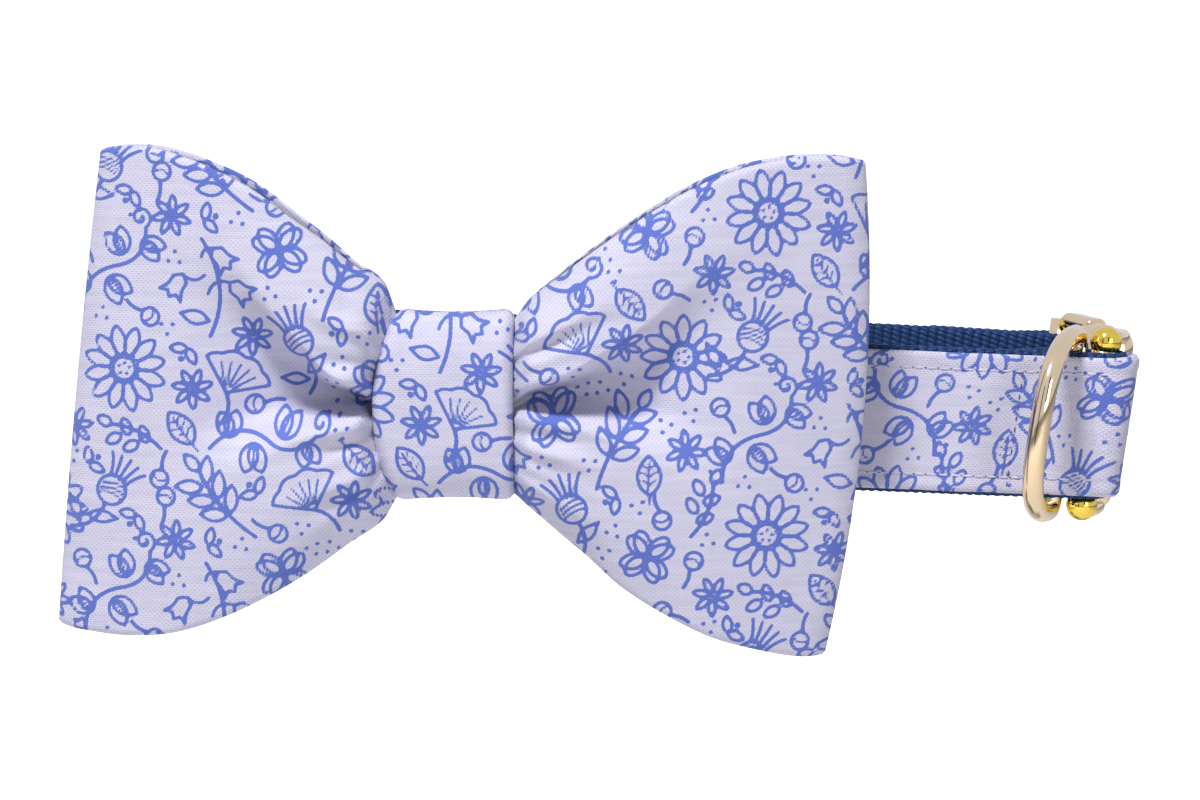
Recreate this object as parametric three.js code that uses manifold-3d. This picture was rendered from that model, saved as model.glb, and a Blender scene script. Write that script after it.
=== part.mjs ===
import * as THREE from 'three';
import { mergeVertices } from 'three/addons/utils/BufferGeometryUtils.js';
import Module from 'manifold-3d';

// A pet collar with a bow tie on it, as it sits round a neck: millimetres, +Z up, +X to the right and
// -Y towards whoever looks at the bow. The origin is the centre of the neck opening.

const wasm = await Module();
wasm.setup();

// Driving dimensions
const clearance = 0.3;
const webbingWidth = 25.4;
const webbingThickness = 1.6;
const coverWidth = 24.2;
const coverThickness = 1.0;

const neckHalfWidth = 86;
const neckHalfDepth = 22;
const barRadius = 2.2;
const frontBarY = -12.1;
const frontBarInset = 3.1;
const rearBarY = 19;
const rearBarInset = 6.5;
const endLeanDegrees = 5;
const leanStart = 30;
const leanLength = 36;
const foldBackLength = 15;
const rearReturnLength = 24;
const rearReturnStart = 8;
const foldSlack = 0.3;
const coverEndBeforeReturn = 4;

const knotX = -29;
const knotZ = 0.6;
const knotWidth = 22.4;
const knotHeight = 32;
const knotDepth = 14.4;
const knotWall = 1.6;
const knotWaist = 0.5;
const keeperWidth = 18;
const keeperThickness = 1.0;
const keeperPlay = 0.6;
const bowTiltDegrees = 2.4;

const bowHeight = 84;
const bowPuff = 9;
const bowWall = 1.4;
const foldRadius = 1.9;
const bowPinchHeight = 26;
const bowPinchDepth = 4.4;

const wireRadius = 1.9;
const ringInnerHalfHeight = 13.6;
const ringLength = 18;
const ringSwingDegrees = 21;
const ringBarSetback = 5.2;
const ringCornerPower = 2.8;

const buckleThickness = 6;
const buckleBulge = 6;
const buckleHalfHeight = 16.4;
const armThickness = 2.6;
const armWidth = 4.4;
const knobRadius = 2.7;
const knobHalfHeight = 2.5;
const rearKnobRadius = 2.4;
const buckleSplit = 0.56;
const buckleRounding = 1;

const radians = THREE.MathUtils.degToRad;
const bars = {
  front: new THREE.Vector2(neckHalfWidth - frontBarInset, frontBarY),
  rear: new THREE.Vector2(neckHalfWidth - rearBarInset, rearBarY),
};

const finishes = {
  cotton: { color: 0xccc9e2, roughness: 0.9, metalness: 0 },
  knotCotton: { color: 0xc6c3de, roughness: 0.9, metalness: 0 },
  navy: { color: 0x14305e, roughness: 0.8, metalness: 0 },
  elastic: { color: 0x2a3550, roughness: 0.85, metalness: 0 },
  gold: { color: 0xd9bb7f, roughness: 0.2, metalness: 1 },
};

/** A smooth value between a table's rows: the rows' own column is joined by a curve of cubic pieces. */
function column(table, key, name, at) {
  const last = table.length - 1;
  let row = 0;
  while (row < last - 1 && at > table[row + 1][key]) row += 1;
  const before = table[Math.max(row - 1, 0)];
  const low = table[row];
  const high = table[row + 1];
  const after = table[Math.min(row + 2, last)];
  const span = high[key] - low[key];
  const t = THREE.MathUtils.clamp((at - low[key]) / span, 0, 1);
  const slopeLow = (high[name] - before[name]) / (high[key] - before[key]);
  const slopeHigh = (after[name] - low[name]) / (after[key] - low[key]);
  const t2 = t * t;
  const t3 = t2 * t;
  return (2 * t3 - 3 * t2 + 1) * low[name] + (t3 - 2 * t2 + t) * span * slopeLow
    + (3 * t2 - 2 * t3) * high[name] + (t3 - t2) * span * slopeHigh;
}

/** A closed geometry from points and triangles, turned the right way out if its volume comes out negative. */
function solid(points, triangles) {
  let volume = 0;
  for (const [a, b, c] of triangles) {
    volume += points[a].dot(new THREE.Vector3().crossVectors(points[b], points[c]));
  }
  const faces = volume < 0 ? triangles.map(([a, b, c]) => [a, c, b]) : triangles;
  const geometry = new THREE.BufferGeometry();
  geometry.setAttribute('position', new THREE.Float32BufferAttribute(points.flatMap((p) => [p.x, p.y, p.z]), 3));
  geometry.setIndex(faces.flat());
  geometry.computeVertexNormals();
  return geometry;
}

/** Two triangles for each cell of a grid of across x up points, which starts at point number first. */
function gridTriangles(across, up, first, closedAcross, flip) {
  const triangles = [];
  const cells = closedAcross ? across : across - 1;
  for (let i = 0; i < cells; i += 1) {
    const next = (i + 1) % across;
    for (let j = 0; j < up - 1; j += 1) {
      const a = first + i * up + j;
      const b = first + next * up + j;
      const c = first + next * up + j + 1;
      const d = first + i * up + j + 1;
      triangles.push(flip ? [a, c, b] : [a, b, c], flip ? [a, d, c] : [a, c, d]);
    }
  }
  return triangles;
}

/** A ring of cloth: its outer and inner faces are two closed loops of columns, joined at both rims. */
function clothRing(outer, inner) {
  const across = outer.length;
  const up = outer[0].length;
  const start = across * up;
  const triangles = [
    ...gridTriangles(across, up, 0, true, false),
    ...gridTriangles(across, up, start, true, true),
  ];
  for (let i = 0; i < across; i += 1) {
    const next = (i + 1) % across;
    for (const [j, flip] of [[0, true], [up - 1, false]]) {
      const a = i * up + j;
      const b = next * up + j;
      triangles.push(flip ? [a, b + start, b] : [a, b, b + start]);
      triangles.push(flip ? [a, a + start, b + start] : [a, b + start, a + start]);
    }
  }
  return solid([...outer.flat(), ...inner.flat()], triangles);
}

/** A flat strip that follows a plan path standing on edge, from inner to outer across its thickness. */
function standingStrip(path, width, inner, outer, shift) {
  const points = [];
  path.forEach((p, i) => {
    const ahead = path[Math.min(i + 1, path.length - 1)];
    const behind = path[Math.max(i - 1, 0)];
    const along = ahead.clone().sub(behind).normalize();
    const side = new THREE.Vector2(-along.y, along.x);
    for (const [offset, z] of [[inner, -1], [outer, -1], [outer, 1], [inner, 1]]) {
      const at = p.clone().addScaledVector(side, offset);
      points.push(shift(new THREE.Vector3(at.x, at.y, z * width / 2)));
    }
  });
  const triangles = [];
  for (let i = 0; i < path.length - 1; i += 1) {
    for (let k = 0; k < 4; k += 1) {
      const a = i * 4 + k;
      const b = i * 4 + (k + 1) % 4;
      triangles.push([a, b, b + 4], [a, b + 4, a + 4]);
    }
  }
  const end = (path.length - 1) * 4;
  triangles.push([0, 2, 1], [0, 3, 2], [end, end + 1, end + 2], [end, end + 2, end + 3]);
  return solid(points, triangles);
}

/** A geometry as a manifold, with its doubled vertices merged first. */
function toManifold(geometry) {
  const bare = geometry.clone();
  bare.deleteAttribute('normal');
  bare.deleteAttribute('uv');
  const merged = mergeVertices(bare, 1e-4);
  return new wasm.Manifold(new wasm.Mesh({
    numProp: 3,
    vertProperties: new Float32Array(merged.attributes.position.array),
    triVerts: new Uint32Array(merged.index.array),
  }));
}

/** Several overlapping geometries joined into one casting. */
function casting(geometries) {
  const mesh = geometries.map(toManifold).reduce((all, next) => all.add(next)).getMesh();
  const geometry = new THREE.BufferGeometry();
  geometry.setAttribute('position', new THREE.Float32BufferAttribute(Array.from(mesh.vertProperties), 3));
  geometry.setIndex(Array.from(mesh.triVerts));
  geometry.computeVertexNormals();
  return geometry;
}

function piece(name, geometry, finish) {
  const mesh = new THREE.Mesh(geometry, new THREE.MeshStandardMaterial(finishes[finish]));
  mesh.name = name;
  return mesh;
}

/** The strap's end slants: a point is moved along X by its height, more and more towards the buckle. */
function leanEnd(point) {
  const share = THREE.MathUtils.smoothstep(point.x, leanStart, leanStart + leanLength);
  point.x += point.z * Math.tan(radians(endLeanDegrees)) * share;
  return point;
}

// The loop round the neck, from the front bar's side over the left bend to the rear bar's side.
// across is a share of neckHalfWidth, back a share of neckHalfDepth.
const loopStations = [
  { across: 0.78, back: -0.728 },
  { across: 0.5, back: -0.745 },
  { across: 0.1, back: -0.83 },
  { across: -0.337, back: -0.864 },
  { across: -0.7, back: -0.77 },
  { across: -0.9, back: -0.54 },
  { across: -1, back: -0.08 },
  { across: -0.9, back: 0.3 },
  { across: -0.68, back: 0.36 },
  { across: -0.25, back: 0.42 },
  { across: 0.2, back: 0.7 },
  { across: 0.55, back: 0.95 },
  { across: 0.76, back: 0.8 },
];
const foldSteps = 10;
const loopSteps = 84;
const layerRadius = barRadius + clearance + webbingThickness / 2;
const layerPitch = webbingThickness + clearance;

/** Points on a half turn round a bar, from angle start over angle turn. */
function halfTurn(bar, start, turn) {
  return Array.from({ length: foldSteps + 1 }, (_, i) => {
    const angle = start + turn * i / foldSteps;
    return new THREE.Vector2(bar.x + layerRadius * Math.cos(angle), bar.y + layerRadius * Math.sin(angle));
  });
}

/** The webbing's middle line: the hidden fold-back, the front fold, the loop, and the rear fold and return. */
function strapPath() {
  const foldBack = 2 * layerRadius - layerPitch;
  const frontFace = bars.front.y - layerRadius;
  const rearFace = bars.rear.y - layerRadius;
  const meetX = bars.front.x - foldBackLength;
  const start = [
    new THREE.Vector2(meetX, frontFace + layerPitch + 0.1),
    new THREE.Vector2(meetX + foldBackLength * 0.12, frontFace + layerPitch + 0.2),
    new THREE.Vector2(meetX + foldBackLength * 0.4, frontFace + layerPitch + foldBack * 0.86),
    new THREE.Vector2(meetX + foldBackLength * 0.6, bars.front.y + layerRadius),
  ];
  const loop = new THREE.CatmullRomCurve3([
    new THREE.Vector3(bars.front.x, frontFace, 0),
    new THREE.Vector3(bars.front.x - foldBackLength * 0.4, frontFace, 0),
    ...loopStations.map((s) => new THREE.Vector3(s.across * neckHalfWidth, s.back * neckHalfDepth, 0)),
    new THREE.Vector3(bars.rear.x - rearReturnLength * 0.25, rearFace + 0.25, 0),
    new THREE.Vector3(bars.rear.x, rearFace, 0),
  ], false, 'centripetal');
  const round = loop.getSpacedPoints(loopSteps).map((p) => new THREE.Vector2(p.x, p.y));
  const beforeRearBar = (p, length) => p.y > 0 && p.x > bars.rear.x - length;
  const back = round.filter((p) => beforeRearBar(p, rearReturnLength) && !beforeRearBar(p, rearReturnStart));
  const returning = back.reverse().map((p) => new THREE.Vector2(p.x, p.y + layerPitch + foldSlack));
  return {
    path: [
      ...start,
      ...halfTurn(bars.front, Math.PI / 2, -Math.PI),
      ...round.slice(1, -1),
      ...halfTurn(bars.rear, -Math.PI / 2, Math.PI),
      ...returning,
    ],
    coverEnd: bars.rear.x - rearReturnLength - coverEndBeforeReturn,
    round,
  };
}

const strap = strapPath();

function webbing() {
  const half = webbingThickness / 2;
  return piece('webbing', standingStrip(strap.path, webbingWidth, -half, half, leanEnd), 'navy');
}

function strapCover() {
  const inner = webbingThickness / 2 + clearance;
  const end = strap.path.findIndex((p) => p.y > 0 && p.x > strap.coverEnd);
  const path = strap.path.slice(0, end);
  return piece('strap_cover', standingStrip(path, coverWidth, inner, inner + coverThickness, leanEnd), 'cotton');
}

/** The place on the loop's front whose x is nearest to the given one. */
function frontAt(x) {
  return strap.round.filter((p) => p.y < 0).reduce((best, p) => (
    Math.abs(p.x - x) < Math.abs(best.x - x) ? p : best));
}

const strapAtKnot = frontAt(knotX).y;
const strapBack = strapAtKnot + webbingThickness / 2;
const strapFront = strapAtKnot - webbingThickness / 2 - clearance - coverThickness;

/** A flat elastic loop that goes right round the strap behind the knot. */
function keeperLoop() {
  const inside = { low: strapFront - keeperPlay, high: strapBack + keeperPlay };
  const halfHeight = webbingWidth / 2 + keeperPlay;
  const outline = (grow) => {
    const points = [];
    const corner = 0.6 + grow;
    const centres = [[inside.high + grow, halfHeight + grow, 0], [inside.low - grow, halfHeight + grow, 1],
      [inside.low - grow, -halfHeight - grow, 2], [inside.high + grow, -halfHeight - grow, 3]];
    for (const [y, z, quarter] of centres) {
      const cy = y - Math.sign(y - (inside.low + inside.high) / 2) * corner;
      const cz = z - Math.sign(z) * corner;
      for (let i = 0; i <= 3; i += 1) {
        const angle = (quarter + i / 3) * Math.PI / 2;
        points.push([cy + corner * Math.cos(angle), cz + corner * Math.sin(angle)]);
      }
    }
    return points;
  };
  const columns = (points) => points.map(([y, z]) => [-0.5, 0.5].map((share) => (
    new THREE.Vector3(knotX + share * keeperWidth, y, z))));
  return piece('keeper_loop', clothRing(columns(outline(keeperThickness)), columns(outline(0))), 'elastic');
}

// The bow. out is a wing's share of the way from the knot's edge to its outer fold; top and bottom are
// shares of bowHeight; ridge and panel say how far the front stands forward on its rolls and between the
// creases, back how far the back layer stands behind, all as shares of bowPuff; upper and lower are the
// creases' heights, as shares of the way from the middle to the wing's edge; curl is how far the cloth
// rolls back at its edges.
const leftWing = {
  reachTop: 57.1,
  reachBottom: 65.6,
  bulge: 0.5,
  rows: [
    { out: 0.05, top: 0.254, bottom: -0.232, ridge: 1.05, panel: 0.03, back: 0.5, upper: 0.07, lower: 0.02, curl: 0.7 },
    { out: 0.15, top: 0.292, bottom: -0.276, ridge: 1.2, panel: 0.06, back: 0.62, upper: 0.15, lower: 0.03, curl: 0.5 },
    { out: 0.25, top: 0.341, bottom: -0.322, ridge: 1.22, panel: 0.16, back: 0.74, upper: 0.26, lower: 0.05, curl: 0.36 },
    { out: 0.35, top: 0.383, bottom: -0.362, ridge: 1.18, panel: 0.36, back: 0.8, upper: 0.36, lower: 0.09, curl: 0.25 },
    { out: 0.5, top: 0.446, bottom: -0.412, ridge: 1.04, panel: 0.66, back: 0.82, upper: 0.48, lower: 0.16, curl: 0.14 },
    { out: 0.65, top: 0.488, bottom: -0.446, ridge: 0.88, panel: 0.8, back: 0.74, upper: 0.55, lower: 0.26, curl: 0.06 },
    { out: 0.8, top: 0.517, bottom: -0.455, ridge: 0.62, panel: 0.62, back: 0.56, upper: 0.6, lower: 0.36, curl: 0.02 },
    { out: 0.9, top: 0.523, bottom: -0.45, ridge: 0.42, panel: 0.43, back: 0.38, upper: 0.6, lower: 0.4, curl: 0 },
    { out: 1, top: 0.518, bottom: -0.441, ridge: 0.22, panel: 0.22, back: 0.2, upper: 0.6, lower: 0.4, curl: 0 },
  ],
};
const rightWing = {
  reachTop: 70.4,
  reachBottom: 64.8,
  bulge: 3.2,
  rows: [
    { out: 0.05, top: 0.222, bottom: -0.204, ridge: 1.05, panel: 0.02, back: 0.5, upper: 0.1, lower: 0.01, curl: 0.7 },
    { out: 0.15, top: 0.276, bottom: -0.252, ridge: 1.2, panel: 0.05, back: 0.62, upper: 0.14, lower: 0.02, curl: 0.5 },
    { out: 0.25, top: 0.327, bottom: -0.3, ridge: 1.22, panel: 0.14, back: 0.74, upper: 0.2, lower: 0.04, curl: 0.36 },
    { out: 0.35, top: 0.374, bottom: -0.354, ridge: 1.18, panel: 0.34, back: 0.8, upper: 0.27, lower: 0.08, curl: 0.25 },
    { out: 0.5, top: 0.436, bottom: -0.412, ridge: 1.04, panel: 0.68, back: 0.82, upper: 0.4, lower: 0.16, curl: 0.14 },
    { out: 0.65, top: 0.479, bottom: -0.458, ridge: 0.88, panel: 0.8, back: 0.74, upper: 0.5, lower: 0.26, curl: 0.06 },
    { out: 0.8, top: 0.5, bottom: -0.486, ridge: 0.62, panel: 0.62, back: 0.56, upper: 0.56, lower: 0.36, curl: 0.02 },
    { out: 0.9, top: 0.503, bottom: -0.5, ridge: 0.42, panel: 0.43, back: 0.38, upper: 0.56, lower: 0.4, curl: 0 },
    { out: 1, top: 0.495, bottom: -0.506, ridge: 0.22, panel: 0.22, back: 0.2, upper: 0.56, lower: 0.42, curl: 0 },
  ],
};
const rollCentre = 0.58;
const creaseSoftness = 0.24;
const bowRows = 19;
const knotMiddle = -0.2;
const outwardShares = [-0.1, 0, 0.02, 0.05, 0.1, 0.16, 0.23, 0.31, 0.4, 0.5, 0.6, 0.7, 0.79, 0.87];
const noseSteps = 4;

/** The cloth squeezed inside the knot, as one more row of a wing's table. */
function pinchRow(out) {
  const half = bowPinchHeight / 2 / bowHeight;
  const deep = bowPinchDepth / bowPuff;
  return { out, top: half, bottom: -half, ridge: deep, panel: deep * 0.42, back: deep, upper: 0.06, lower: 0.06,
    curl: 0.62 };
}

/** A point of one wing: side is -1 or 1, out and up its shares, layer 1 for the front or -1 for the back. */
function wingPoint(wing, side, out, up, layer, inset) {
  const rows = [pinchRow(knotMiddle), pinchRow(0), ...wing.rows];
  const get = (name) => column(rows, 'out', name, out);
  const lift = (up + 1) / 2;
  const edgeOfKnot = knotWidth / 2 + clearance;
  const reach = THREE.MathUtils.lerp(wing.reachBottom, wing.reachTop, lift) + wing.bulge * (1 - up * up) - inset;
  const across = out < 0
    ? edgeOfKnot * (1 - out / knotMiddle)
    : THREE.MathUtils.lerp(edgeOfKnot, reach, out);
  const past = Math.max(0, 1 - (reach - across) / (2 * foldRadius));
  const round = Math.sqrt(Math.max(0, 1 - past * past));
  const height = bowHeight * THREE.MathUtils.lerp(get('bottom'), get('top'), lift);
  const crease = up > 0 ? get('upper') : get('lower');
  const roll = THREE.MathUtils.smoothstep(Math.abs(up), crease - creaseSoftness / 2, crease + creaseSoftness);
  const edge = Math.max(0, (Math.abs(up) - rollCentre) / (1 - rollCentre));
  const curl = 1 - get('curl') * edge * edge;
  const front = THREE.MathUtils.lerp(get('panel'), get('ridge'), roll);
  const deep = bowPuff * (layer > 0 ? front : get('back')) * curl;
  const inner = Math.max(deep - inset, deep * 0.3);
  return new THREE.Vector3(side * across, -layer * inner * round, height);
}

/** The bow is one strip sewn into a loop and pressed flat: front, right fold, back and left fold. */
function bowBody() {
  const foldShare = 2 * foldRadius / (leftWing.reachBottom - knotWidth / 2);
  const folds = Array.from({ length: noseSteps }, (_, i) => (
    1 - foldShare * (1 - Math.sin((i + 1) / noseSteps * Math.PI / 2))));
  const outward = [...outwardShares, 1 - foldShare * 1.25, ...folds];
  const stops = [
    { out: knotMiddle, side: 1, layer: 1 },
    ...outward.map((out) => ({ out, side: 1, layer: 1 })),
    ...outward.slice(0, -1).reverse().map((out) => ({ out, side: 1, layer: -1 })),
    { out: knotMiddle, side: 1, layer: -1 },
    ...outward.map((out) => ({ out, side: -1, layer: -1 })),
    ...outward.slice(0, -1).reverse().map((out) => ({ out, side: -1, layer: 1 })),
  ];
  const face = (inset) => stops.map(({ out, side, layer }) => (
    Array.from({ length: bowRows }, (_, j) => {
      const up = -1 + 2 * j / (bowRows - 1);
      return wingPoint(side < 0 ? leftWing : rightWing, side, out, up, layer, inset);
    })));
  return piece('bow_body', clothRing(face(0), face(bowWall)), 'cotton');
}

/** The band round the bow's middle: an oval with squarish corners, waisted a little between its edges. */
function knotBand() {
  const around = 40;
  const columns = (shrink) => Array.from({ length: around }, (_, i) => {
    const angle = 2 * Math.PI * i / around;
    const square = (value) => Math.sign(value) * Math.abs(value) ** 0.62;
    return [-0.5, -0.25, 0, 0.25, 0.5].map((share) => {
      const waist = knotWaist * (1 - 4 * share * share);
      const z = (knotHeight / 2 - shrink - waist) * square(Math.sin(angle));
      const y = (knotDepth / 2 - shrink) * square(Math.cos(angle));
      return new THREE.Vector3(share * knotWidth, y, z);
    });
  });
  return piece('knot_band', clothRing(columns(0), columns(knotWall)), 'knotCotton');
}

function bowTie() {
  const bow = new THREE.Group();
  const back = strapFront - keeperPlay - keeperThickness - clearance;
  bow.position.set(knotX, back - knotDepth / 2, knotZ);
  bow.rotation.y = radians(-bowTiltDegrees);
  bow.add(bowBody(), knotBand());
  return bow;
}

/** A D of round wire: a straight bar at the origin along Z and a bow that reaches towards -Y. */
function leashRing() {
  const halfHeight = ringInnerHalfHeight + wireRadius;
  const arch = 26;
  const barSteps = 6;
  const line = [];
  for (let i = 0; i <= arch; i += 1) {
    const angle = -Math.PI / 2 + Math.PI * i / arch;
    const power = 2 / ringCornerPower;
    const reach = ringLength * Math.abs(Math.cos(angle)) ** power;
    line.push(new THREE.Vector3(0, -reach, halfHeight * Math.sign(Math.sin(angle)) * Math.abs(Math.sin(angle)) ** power));
  }
  const corner = 1.4;
  line[0].set(0, -corner, -halfHeight);
  line[arch].set(0, -corner, halfHeight);
  for (let i = 0; i <= barSteps; i += 1) {
    line.push(new THREE.Vector3(0, 0, (halfHeight - corner) * (1 - 2 * i / barSteps)));
  }
  const sides = 10;
  const points = [];
  line.forEach((p, i) => {
    const ahead = line[(i + 1) % line.length];
    const behind = line[(i + line.length - 1) % line.length];
    const along = ahead.clone().sub(behind).normalize();
    const out = new THREE.Vector3(0, -along.z, along.y);
    for (let k = 0; k < sides; k += 1) {
      const angle = 2 * Math.PI * k / sides;
      points.push(p.clone().addScaledVector(out, wireRadius * Math.cos(angle))
        .add(new THREE.Vector3(wireRadius * Math.sin(angle), 0, 0)));
    }
  });
  const triangles = [];
  for (let i = 0; i < line.length; i += 1) {
    for (let k = 0; k < sides; k += 1) {
      const next = (i + 1) % line.length;
      const a = i * sides + k;
      const b = i * sides + (k + 1) % sides;
      const c = next * sides + (k + 1) % sides;
      const d = next * sides + k;
      triangles.push([a, b, c], [a, c, d]);
    }
  }
  return piece('leash_ring', solid(points, triangles), 'gold');
}

// The buckle's plan, from the front bar (along 0) to the rear bar (along 1): it bulges away from the neck.
const buckleMiddle = (along) => {
  const line = new THREE.Vector2().lerpVectors(bars.front, bars.rear, along);
  return line.add(new THREE.Vector2(buckleBulge * Math.sin(Math.PI * along) ** 0.8, 0));
};
const buckleLength = bars.front.distanceTo(bars.rear);
const frontFoldRadius = layerRadius + webbingThickness / 2 + clearance + coverThickness;
const rearFoldRadius = layerRadius + webbingThickness / 2;
const bodyStart = (frontFoldRadius + clearance + 0.6) / buckleLength;
const bodyEnd = 1 - (rearFoldRadius + clearance + 0.6) / buckleLength;
const armInner = webbingWidth / 2 + 1.1;

/** A flat bar that follows the buckle's plan, from z low to z high. */
function planBar(from, to, width, low, high, rounding) {
  const steps = 8;
  const sides = [[], []];
  for (let i = 0; i <= steps; i += 1) {
    const along = from + (to - from) * i / steps;
    const ahead = buckleMiddle(Math.min(along + 0.02, 1)).sub(buckleMiddle(Math.max(along - 0.02, 0))).normalize();
    const side = new THREE.Vector2(-ahead.y, ahead.x).multiplyScalar(width / 2 - rounding);
    const at = buckleMiddle(along);
    sides[0].push(at.clone().add(side));
    sides[1].push(at.clone().sub(side));
  }
  const shape = new THREE.Shape([...sides[0], ...sides[1].reverse()]);
  const geometry = new THREE.ExtrudeGeometry(shape, {
    depth: high - low - 2 * rounding,
    bevelEnabled: true,
    bevelThickness: rounding,
    bevelSize: rounding,
    bevelSegments: 2,
    steps: 1,
  });
  return geometry.translate(0, 0, low + rounding);
}

/** One half of the buckle: its bar with round ends, an arm over and under the strap, and the body. */
function buckleHalf(name, bar, knob, barEnd, from, to) {
  const rod = new THREE.CylinderGeometry(barRadius, barRadius, 2 * (armInner + 1), 16);
  rod.rotateX(Math.PI / 2).translate(bar.x, bar.y, 0);
  const parts = [rod, planBar(from, to, buckleThickness, -buckleHalfHeight, buckleHalfHeight, buckleRounding)];
  for (const side of [-1, 1]) {
    const ball = new THREE.SphereGeometry(1, 16, 10);
    ball.rotateX(Math.PI / 2).scale(knob, knob, knobHalfHeight);
    parts.push(ball.translate(bar.x, bar.y, side * (armInner + knobHalfHeight * 0.75)));
    const low = side > 0 ? armInner : -armInner - armThickness;
    parts.push(planBar(barEnd, barEnd > to ? to - 0.05 : from + 0.05, armWidth, low, low + armThickness, 0.6));
  }
  return piece(name, casting(parts), 'gold');
}

function hardware() {
  const seam = clearance / 2 / buckleLength;
  const split = bodyStart + (bodyEnd - bodyStart) * buckleSplit;
  const roundingShare = buckleRounding / buckleLength;
  const half = {
    socket: buckleHalf('buckle_socket', bars.front, knobRadius, 0.02, bodyStart + roundingShare,
      split - seam - roundingShare),
    plug: buckleHalf('buckle_plug', bars.rear, rearKnobRadius, 0.98, split + seam + roundingShare,
      bodyEnd - roundingShare),
  };
  const buckle = new THREE.Group();
  buckle.position.set(bars.front.x, 0, 0);
  buckle.rotation.y = radians(endLeanDegrees);
  for (const mesh of Object.values(half)) {
    mesh.position.set(-bars.front.x, 0, 0);
    buckle.add(mesh);
  }
  const ring = new THREE.Group();
  ring.position.set(bars.front.x - ringBarSetback, bars.front.y, 0);
  ring.rotation.order = 'YZX';
  ring.rotation.y = radians(endLeanDegrees);
  ring.rotation.z = radians(-ringSwingDegrees);
  ring.add(leashRing());
  return [buckle, ring];
}

const collar = new THREE.Group();
collar.add(webbing(), strapCover(), keeperLoop(), bowTie(), ...hardware());

export default collar;
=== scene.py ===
import math

import bpy
import numpy as np
from mathutils import Matrix, Vector


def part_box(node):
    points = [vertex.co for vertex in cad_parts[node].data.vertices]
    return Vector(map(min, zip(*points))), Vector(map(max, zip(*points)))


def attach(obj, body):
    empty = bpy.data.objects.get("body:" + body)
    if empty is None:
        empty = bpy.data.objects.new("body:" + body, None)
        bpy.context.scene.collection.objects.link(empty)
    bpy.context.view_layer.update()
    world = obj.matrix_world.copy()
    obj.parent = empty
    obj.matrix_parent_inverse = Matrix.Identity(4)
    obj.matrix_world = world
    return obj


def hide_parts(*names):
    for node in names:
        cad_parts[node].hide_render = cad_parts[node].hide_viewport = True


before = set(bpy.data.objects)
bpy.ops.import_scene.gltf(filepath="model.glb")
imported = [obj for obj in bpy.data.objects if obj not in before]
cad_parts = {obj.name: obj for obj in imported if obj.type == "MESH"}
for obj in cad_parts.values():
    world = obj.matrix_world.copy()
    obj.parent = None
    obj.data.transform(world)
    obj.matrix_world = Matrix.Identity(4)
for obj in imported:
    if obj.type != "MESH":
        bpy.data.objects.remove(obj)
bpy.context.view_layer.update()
mm = 0.001

# Camera: level with the strap's front, a little above it and turned a little clockwise, as the collar was
# photographed. The strap's lines slope down to the right because of that turn.
look_at = Vector((-2.9, -17.5, 1.2)) * mm
camera_distance = 573 * mm
camera_height = math.radians(7)
camera_turn = math.radians(2.4)
forward = Vector((0, math.cos(camera_height), -math.sin(camera_height)))
level = Vector((1, 0, 0))
upright = level.cross(forward)
camera_right = level * math.cos(camera_turn) + upright * math.sin(camera_turn)
camera_up = upright * math.cos(camera_turn) - level * math.sin(camera_turn)
camera_data = bpy.data.cameras.new("camera")
camera_data.lens = 100
camera_data.sensor_width = 36
camera_data.clip_end = 20
camera = bpy.data.objects.new("camera", camera_data)
turn = Matrix((camera_right, camera_up, -forward)).transposed().to_4x4()
camera.matrix_world = Matrix.Translation(look_at - forward * camera_distance) @ turn
bpy.context.scene.collection.objects.link(camera)
bpy.context.scene.camera = camera
bpy.context.scene.view_settings.view_transform = "Standard"


# Studio: a surround that looks brighter to the camera and in reflections than the light it gives the collar,
# and a floor that is white to the camera. A strong lamp stands above the viewer, a little to the left, and a
# weak one to the right. Two dark cards, hidden from the camera, give the metal something dark to reflect.
def new_material(name):
    """A new material, its node tree and its Principled BSDF."""
    material = bpy.data.materials.new(name)
    material.use_nodes = True
    return material, material.node_tree, material.node_tree.nodes["Principled BSDF"]


def node_maths(tree, operation, *values):
    """One Math node, with its inputs set or linked."""
    node = tree.nodes.new("ShaderNodeMath")
    node.operation = operation
    for k, value in enumerate(values):
        if isinstance(value, (int, float)):
            node.inputs[k].default_value = value
        else:
            tree.links.new(value, node.inputs[k])
    return node.outputs[0]


def soft_lamp(name, place, width, power):
    """A square lamp that looks at the collar's middle."""
    data = bpy.data.lights.new(name, "AREA")
    data.size = width
    data.energy = power
    lamp = bpy.data.objects.new(name, data)
    away = (Vector(place) - look_at).normalized()
    lamp.matrix_world = Matrix.Translation(place) @ away.to_track_quat("Z", "Y").to_matrix().to_4x4()
    bpy.context.scene.collection.objects.link(lamp)


def studio_sheet(name, corners, colour):
    """A flat four-cornered sheet that is not part of the object."""
    mesh = bpy.data.meshes.new(name)
    mesh.from_pydata(corners, [], [(0, 1, 2, 3)])
    sheet = bpy.data.objects.new(name, mesh)
    bpy.context.scene.collection.objects.link(sheet)
    finish, _, shader = new_material(name)
    shader.inputs["Base Color"].default_value = (*colour, 1)
    shader.inputs["Roughness"].default_value = 0.9
    mesh.materials.append(finish)
    return sheet


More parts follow.
